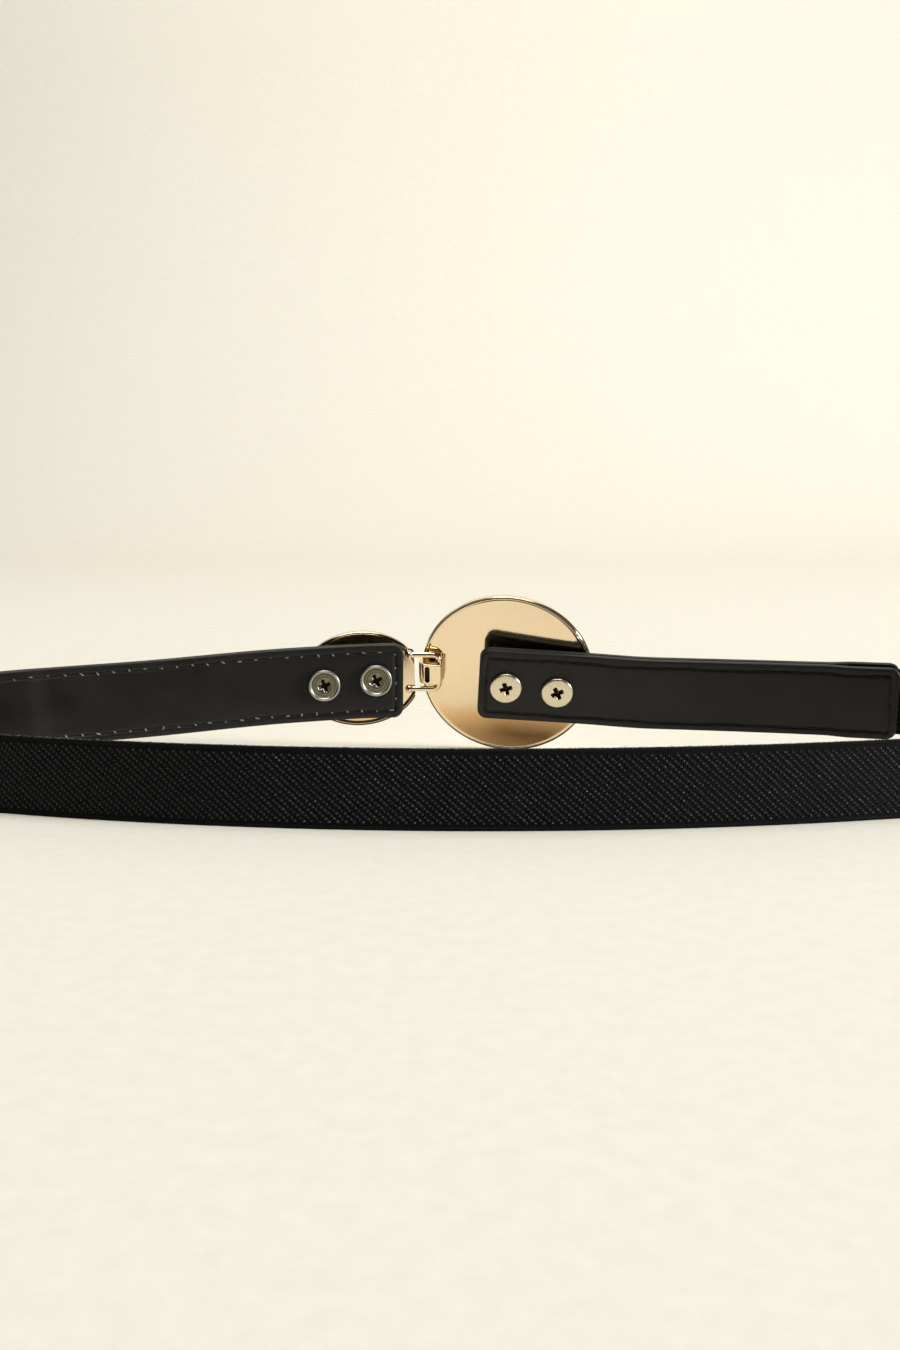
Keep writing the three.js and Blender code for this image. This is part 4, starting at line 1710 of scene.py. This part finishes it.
@dataclass
class TabScrew:
    """A screw through a tab into a disc's post, with a cross recess. Millimetres."""

    layout: BuckleLayout
    name: str
    tab: Tab
    order: int
    across: float
    turn: float
    style: HeadStyle
    diameter: float = 9.3
    height: float = 0.9
    shank: float = 2.8
    recess: float = 3.8
    arm: float = 1.15
    depth: float = 1.0
    chamfer: float = 0.14
    rim_inside: float = 3.75

    def profile(self) -> list[tuple[float, float]]:
        """Radius and height of each ring, from the middle of the face to the shank's tip."""
        r, seat = self.diameter / 2, self.layout.face + self.layout.gap
        top = seat + self.height
        tip = -self.layout.face - self.layout.gap - 1.4
        if self.style is HeadStyle.RIMMED:
            face = [
                (0, top - 0.05),
                (2.4, top - 0.05),
                (2.5, top - 0.02),
                (2.62, top - 0.06),
                (3.2, top - 0.05),
            ]
            face += [
                (3.3, top - 0.02),
                (3.42, top - 0.07),
                (3.72, top - 0.1),
                (3.8, top - 0.02),
                (3.92, top + 0.2),
            ]
            face += [
                (4.05, top + 0.28),
                (4.25, top + 0.3),
                (4.42, top + 0.26),
                (4.56, top + 0.14),
                (r, top - 0.1),
            ]
        else:
            face = [
                (0, top),
                (2.0, top),
                (4.1, top - 0.02),
                (4.3, top - 0.06),
                (4.48, top - 0.16),
                (4.6, top - 0.32),
            ]
            face += [(r, top - 0.5)]
        body = [(r, seat + 0.12), (r - 0.12, seat), (self.shank / 2, seat), (self.shank / 2, tip + 0.2)]
        return [*face, *body, (self.shank / 2 - 0.2, tip), (0, tip)]

    def cross(self, long: float, arm: float, height: float) -> np.ndarray:
        """Outline of a cross.

        Args:
            long: Length of each arm from the middle.
            arm: Half its width.
            height: Height of the outline.

        Returns:
            Its points, the same number for every size.
        """
        nip = 0.35 * arm
        quarter = [
            (long - nip, -arm),
            (long, -arm + nip),
            (long, arm - nip),
            (long - nip, arm),
            (arm + nip, arm),
        ]
        points = []
        for k in range(4):
            c, s = math.cos(k * math.pi / 2), math.sin(k * math.pi / 2)
            points += [(x * c - y * s, x * s + y * c, height) for x, y in [*quarter, (arm, arm + nip)]]
        return np.array(points)

    def cutter(self) -> MeshParts:
        """Cross-shaped recess: a small chamfer, then walls that close in towards the bottom."""
        top = self.layout.face + self.layout.gap + self.height
        long, arm = self.recess / 2, self.arm / 2
        levels = [
            self.cross(0.45 * long, 0.5 * arm, top - self.depth),
            self.cross(long, arm, top - self.chamfer),
            self.cross(long + self.chamfer, arm + self.chamfer, top),
            self.cross(long + 2 * self.chamfer, arm + 2 * self.chamfer, top + self.chamfer),
        ]
        count = len(levels[0])
        spin = Matrix.Rotation(math.radians(self.turn), 4, "Z")
        parts = MeshParts()
        walls = grid_faces(len(levels), count, closed=True)
        points = transform(np.concatenate(levels), spin)
        ends = [list(reversed(range(count))), [3 * count + k for k in range(count)]]
        # The deep part of the cross and its floor take the dark brown painted shade, the chamfer the rim's
        # finish
        slots = [2] * count + [1] * (len(walls) - count) + [2, 1]
        parts.add(points, walls + ends, slots)
        return parts

    def object(
        self, face: bpy.types.Material, rim: bpy.types.Material, grime: bpy.types.Material
    ) -> bpy.types.Object:
        """Build the screw.

        Args:
            face: Finish of the face and the shank.
            rim: Finish of the rim, the side of the head and the recess's chamfer.
            grime: Dark brown painted shade for the deep part of the recess.

        Returns:
            The piece.
        """
        points, faces = turned(self.profile(), 96)
        parts = MeshParts()
        radii = np.hypot(points[:, 0], points[:, 1])
        rimmed = self.style is HeadStyle.RIMMED
        slots = [int(rimmed and radii[one].mean() > self.rim_inside) for one in faces]
        parts.add(points, faces, slots, uv=points[:, :2])
        made = parts.object(self.name, [face, rim, grime], sharp_deg=35)
        cut_with(made, self.cutter().object("recess", [face, rim, grime]))
        made.data.transform(scaled(self.layout.screw_frame(self.tab, self.order, self.across)))
        shade_smooth(made.data, 32)
        return made


# Studio


@dataclass
class Studio:
    """Pale sweep, soft lights and the camera. The camera is in the loop's own frame, in millimetres."""

    course: StrapCourse
    camera_place: tuple[float, float, float] = (-9.3, -324.98, 83.04)
    camera_pitch: float = 9.0
    focal_pixels: float = 1244.0
    sensor: float = 36.0
    paper: str = "faf6ea"
    floor_end: float = 130.0
    bend_steps: int = 11
    half_across: float = 1000.0
    floor_start: float = -750.0

    def sweep(self) -> None:
        """Build the paper sweep: a floor, and a backdrop that curves up behind the belt."""
        material = new_material("matt_cream_paper")
        place = add_node(material, "ShaderNodeTexCoord", {})
        # Paper tooth about 4 mm across, just enough to keep the sweep from looking flat
        tooth = add_node(
            material, "ShaderNodeTexNoise", {"Vector": (place, "Object"), "Scale": 250.0, "Detail": 4.0}
        )
        colour = ramp_node(material, (tooth, "Fac"), [(0.2, "f4efe1"), (0.8, self.paper)])
        shader = add_node(
            material, "ShaderNodeBsdfPrincipled", {"Base Color": (colour, "Color"), "Roughness": 0.9}
        )
        finish_material(material, shader)
        bend = arc((900.0, 700.0), 700.0, -90, 0, 16)
        self.paper_piece("paper_floor", [(self.floor_start, 0.0), (self.floor_end, 0.0)], material)
        foot = self.paper_piece("paper_bend", [(self.floor_end, 0.0), *bend[: self.bend_steps]], material)
        self.paper_piece("paper_wall", [*bend[self.bend_steps - 1 :], (1600.0, 2600.0)], material)
        # The metal mirrors a dark gap between floor and wall here, as between a table and a hung cloth,
        # which keeps dark lines along the edges of the wire and the discs
        foot.visible_glossy = False

    def paper_piece(
        self, name: str, line: list[tuple[float, float]], material: bpy.types.Material
    ) -> bpy.types.Object:
        """Build one piece of the sweep.

        Args:
            name: Its name.
            line: Depths and heights of its section.
            material: The paper.

        Returns:
            The piece.
        """
        across = np.array([-self.half_across, 0.0, self.half_across])
        points = np.array([[x, y, z - 0.02] for y, z in line for x in across])
        parts = MeshParts()
        parts.add(points, grid_faces(len(line), len(across), flip=True))
        piece = parts.object(name, [material], sharp_deg=60)
        return piece

    def area_light(
        self, name: str, place: tuple, target: tuple, size: float, power: float, colour: str
    ) -> None:
        """Add a soft square light.

        Args:
            name: Name of the light.
            place: Where it stands, in metres.
            target: What it points at.
            size: Length of its side.
            power: Watts.
            colour: Its colour.
        """
        light = bpy.data.lights.new(name, "AREA")
        light.size = size
        light.energy = power
        light.color = srgb(colour)[:3]
        made = bpy.data.objects.new(name, light)
        bpy.context.scene.collection.objects.link(made)
        made.location = place
        made.rotation_euler = (Vector(target) - Vector(place)).to_track_quat("-Z", "Y").to_euler()

    def lights(self) -> None:
        """Set the soft room light and the lamps."""
        world = bpy.data.worlds.new("room")
        world.use_nodes = True
        world.node_tree.nodes.clear()
        dim = add_node(world, "ShaderNodeBackground", {"Color": srgb("fdf8f0"), "Strength": 0.04})
        seen = add_node(world, "ShaderNodeBackground", {"Color": srgb("f8f0db"), "Strength": 1.0})
        rays = add_node(world, "ShaderNodeLightPath", {})
        both = add_node(
            world,
            "ShaderNodeMixShader",
            {"Fac": (rays, "Is Camera Ray"), 1: (dim, "Background"), 2: (seen, "Background")},
        )
        add_node(world, "ShaderNodeOutputWorld", {"Surface": (both, "Shader")})
        bpy.context.scene.world = world
        self.area_light("top_softbox", (0.0, 0.1, 2.2), (0.0, 0.0, 0.0), 1.6, 20.6, "fffdf8")
        self.area_light("wall_softbox", (0.0, -0.4, 2.4), (0.0, 1.6, 0.9), 1.6, 27.5, "fffdf8")
        # A small lamp that rakes along the near side from the right, so the ribs glint there most
        self.area_light("rib_softbox", (2.4, -0.48, 0.58), (0.08, -0.04, 0.01), 0.32, 54.0, "ffffff")

    def camera(self) -> None:
        """Set the camera at the photograph's angle."""
        lens = bpy.data.cameras.new("photo_camera")
        lens.sensor_width = self.sensor
        lens.lens = self.focal_pixels / max(IMAGE_SIZE) * self.sensor
        lens.clip_start = 0.01
        made = bpy.data.objects.new("photo_camera", lens)
        bpy.context.scene.collection.objects.link(made)
        x, y, z = self.camera_place
        made.location = ((x + self.course.centre[0]) * MM, (y + self.course.centre[1]) * MM, z * MM)
        made.rotation_euler = (math.radians(90 - self.camera_pitch), 0, 0)
        bpy.context.scene.camera = made
        bpy.context.scene.view_settings.view_transform = "Standard"


# Putting it together


def register(piece: bpy.types.Object, nodes: list[str]) -> None:
    """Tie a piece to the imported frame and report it.

    Args:
        piece: The piece.
        nodes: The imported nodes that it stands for.
    """
    if nodes:
        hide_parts(*nodes)
    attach(piece, "root")
    triangles = sum(len(p.vertices) - 2 for p in piece.data.polygons)
    LOG.info("%s: %d triangles", piece.name, triangles)


def build_elastic(layout: BuckleLayout) -> None:
    """Build the webbing: its ground, and the ribs of both faces.

    Args:
        layout: Where everything sits.
    """
    webbing = ElasticWebbing(layout)
    yarn = RibYarn().build()
    register(webbing.ground(WebbingGround().build()), ["elastic_band"])
    register(webbing.ribs("elastic_ribs_outer", -1, yarn), [])
    register(webbing.ribs("elastic_ribs_inner", 1, yarn), [])
    register(webbing.fuzz(FUZZ_YARN.build()), [])


def build_tabs(layout: BuckleLayout) -> None:
    """Build both tabs: two layers each, and the stitches that show on them.

    Args:
        layout: Where everything sits.
    """
    face, edge = SatinLeather().build(), PaintedEdge().build()
    needle, looper = NEEDLE_THREAD.build(), LOOPER_THREAD_GLINT.build()
    for tab in Tab:
        leather = LeatherTab(layout, tab)
        side = tab.name.lower()
        for layer in Layer:
            kind = layer.name.lower()
            made = leather.layer_object(layer, f"{side}_{kind}_leather", face, edge)
            register(made, [f"{side}_tab_{kind}"])
            thread = looper if tab is Tab.LEFT and layer is Layer.INNER else needle
            register(leather.thread_object(layer, f"{side}_{kind}_stitches", thread), [])


def build_screws(layout: BuckleLayout) -> list[TabScrew]:
    """Build the four screws and return them.

    Args:
        layout: Where everything sits.

    Returns:
        The screws.
    """
    dull, bright, pale, dark = (f.build() for f in (DULL_NICKEL, BRIGHT_NICKEL, CHAMPAGNE, RECESS_SHADE))
    screws = [
        TabScrew(layout, "left_screw_head_1", Tab.LEFT, 0, 0.6, 24, HeadStyle.RIMMED),
        TabScrew(layout, "left_screw_head_2", Tab.LEFT, 1, -0.1, 17, HeadStyle.RIMMED),
        TabScrew(layout, "right_screw_head_1", Tab.RIGHT, 0, -0.4, 20, HeadStyle.FLAT),
        TabScrew(layout, "right_screw_head_2", Tab.RIGHT, 1, -0.9, 28, HeadStyle.FLAT),
    ]
    for screw in screws:
        rimmed = screw.style is HeadStyle.RIMMED
        made = screw.object(dull if rimmed else pale, bright if rimmed else pale, dark)
        node = screw.name.replace("_head", "")
        register(made, [node])
    return screws


def build_discs(layout: BuckleLayout, screws: list[TabScrew]) -> None:
    """Build the large disc with its hook, and the small disc with its wire loop.

    Args:
        layout: Where everything sits.
        screws: The screws, whose places the posts follow.
    """
    # Slots of both castings: bright plating, the back's plating with painted brown shade towards its lower edge,
    # and dark brown painted shade for recesses
    metals = [GOLD_PLATE.build(), LOW_SHADED_GOLD.build(), RECESS_SHADE.build()]
    across = {tab: tuple(s.across for s in screws if s.tab is tab) for tab in Tab}
    hook, loop = ClaspHook(), WireLoop()
    radius = layout.large_diameter / 2
    large = CastDisc(
        layout, Tab.RIGHT, (radius, radius), layout.large_frame(), screw_across=across[Tab.RIGHT]
    )
    parts = MeshParts()
    points, faces, slots = large.body()
    parts.add(transform(points, large.frame), faces, slots)
    large.add_posts(parts)
    casting = parts.object("large_disc_casting", metals, sharp_deg=35)
    join(casting, hook.object(large, loop, metals))
    shade_smooth(casting.data, 35)
    register(casting, ["large_disc"])

    small = CastDisc(
        layout,
        Tab.LEFT,
        (18.2, 14.5),
        layout.small_frame(),
        segments=144,
        screw_across=across[Tab.LEFT],
    )
    parts = MeshParts()
    points, faces, slots = small.body()
    parts.add(transform(points, small.frame), faces, slots)
    casting = parts.object("small_disc_casting", metals, sharp_deg=35)
    cut_end(casting, small.frame, small.half[0] - 1.9)
    extra = MeshParts()
    small.add_posts(extra)
    loop.add_to(extra, loop.frame(large, hook))
    join(casting, extra.object("small_disc_fittings", metals, sharp_deg=35))
    register(casting, ["small_disc"])


def main() -> None:
    """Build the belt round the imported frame."""
    logging.basicConfig(level=logging.INFO, format="%(message)s")
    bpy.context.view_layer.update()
    course = StrapCourse()
    layout = BuckleLayout(course)
    studio = Studio(course)
    studio.camera()
    studio.sweep()
    studio.lights()
    build_elastic(layout)
    build_tabs(layout)
    build_discs(layout, build_screws(layout))
    bpy.context.view_layer.update()


if __name__ == "__main__":
    main()
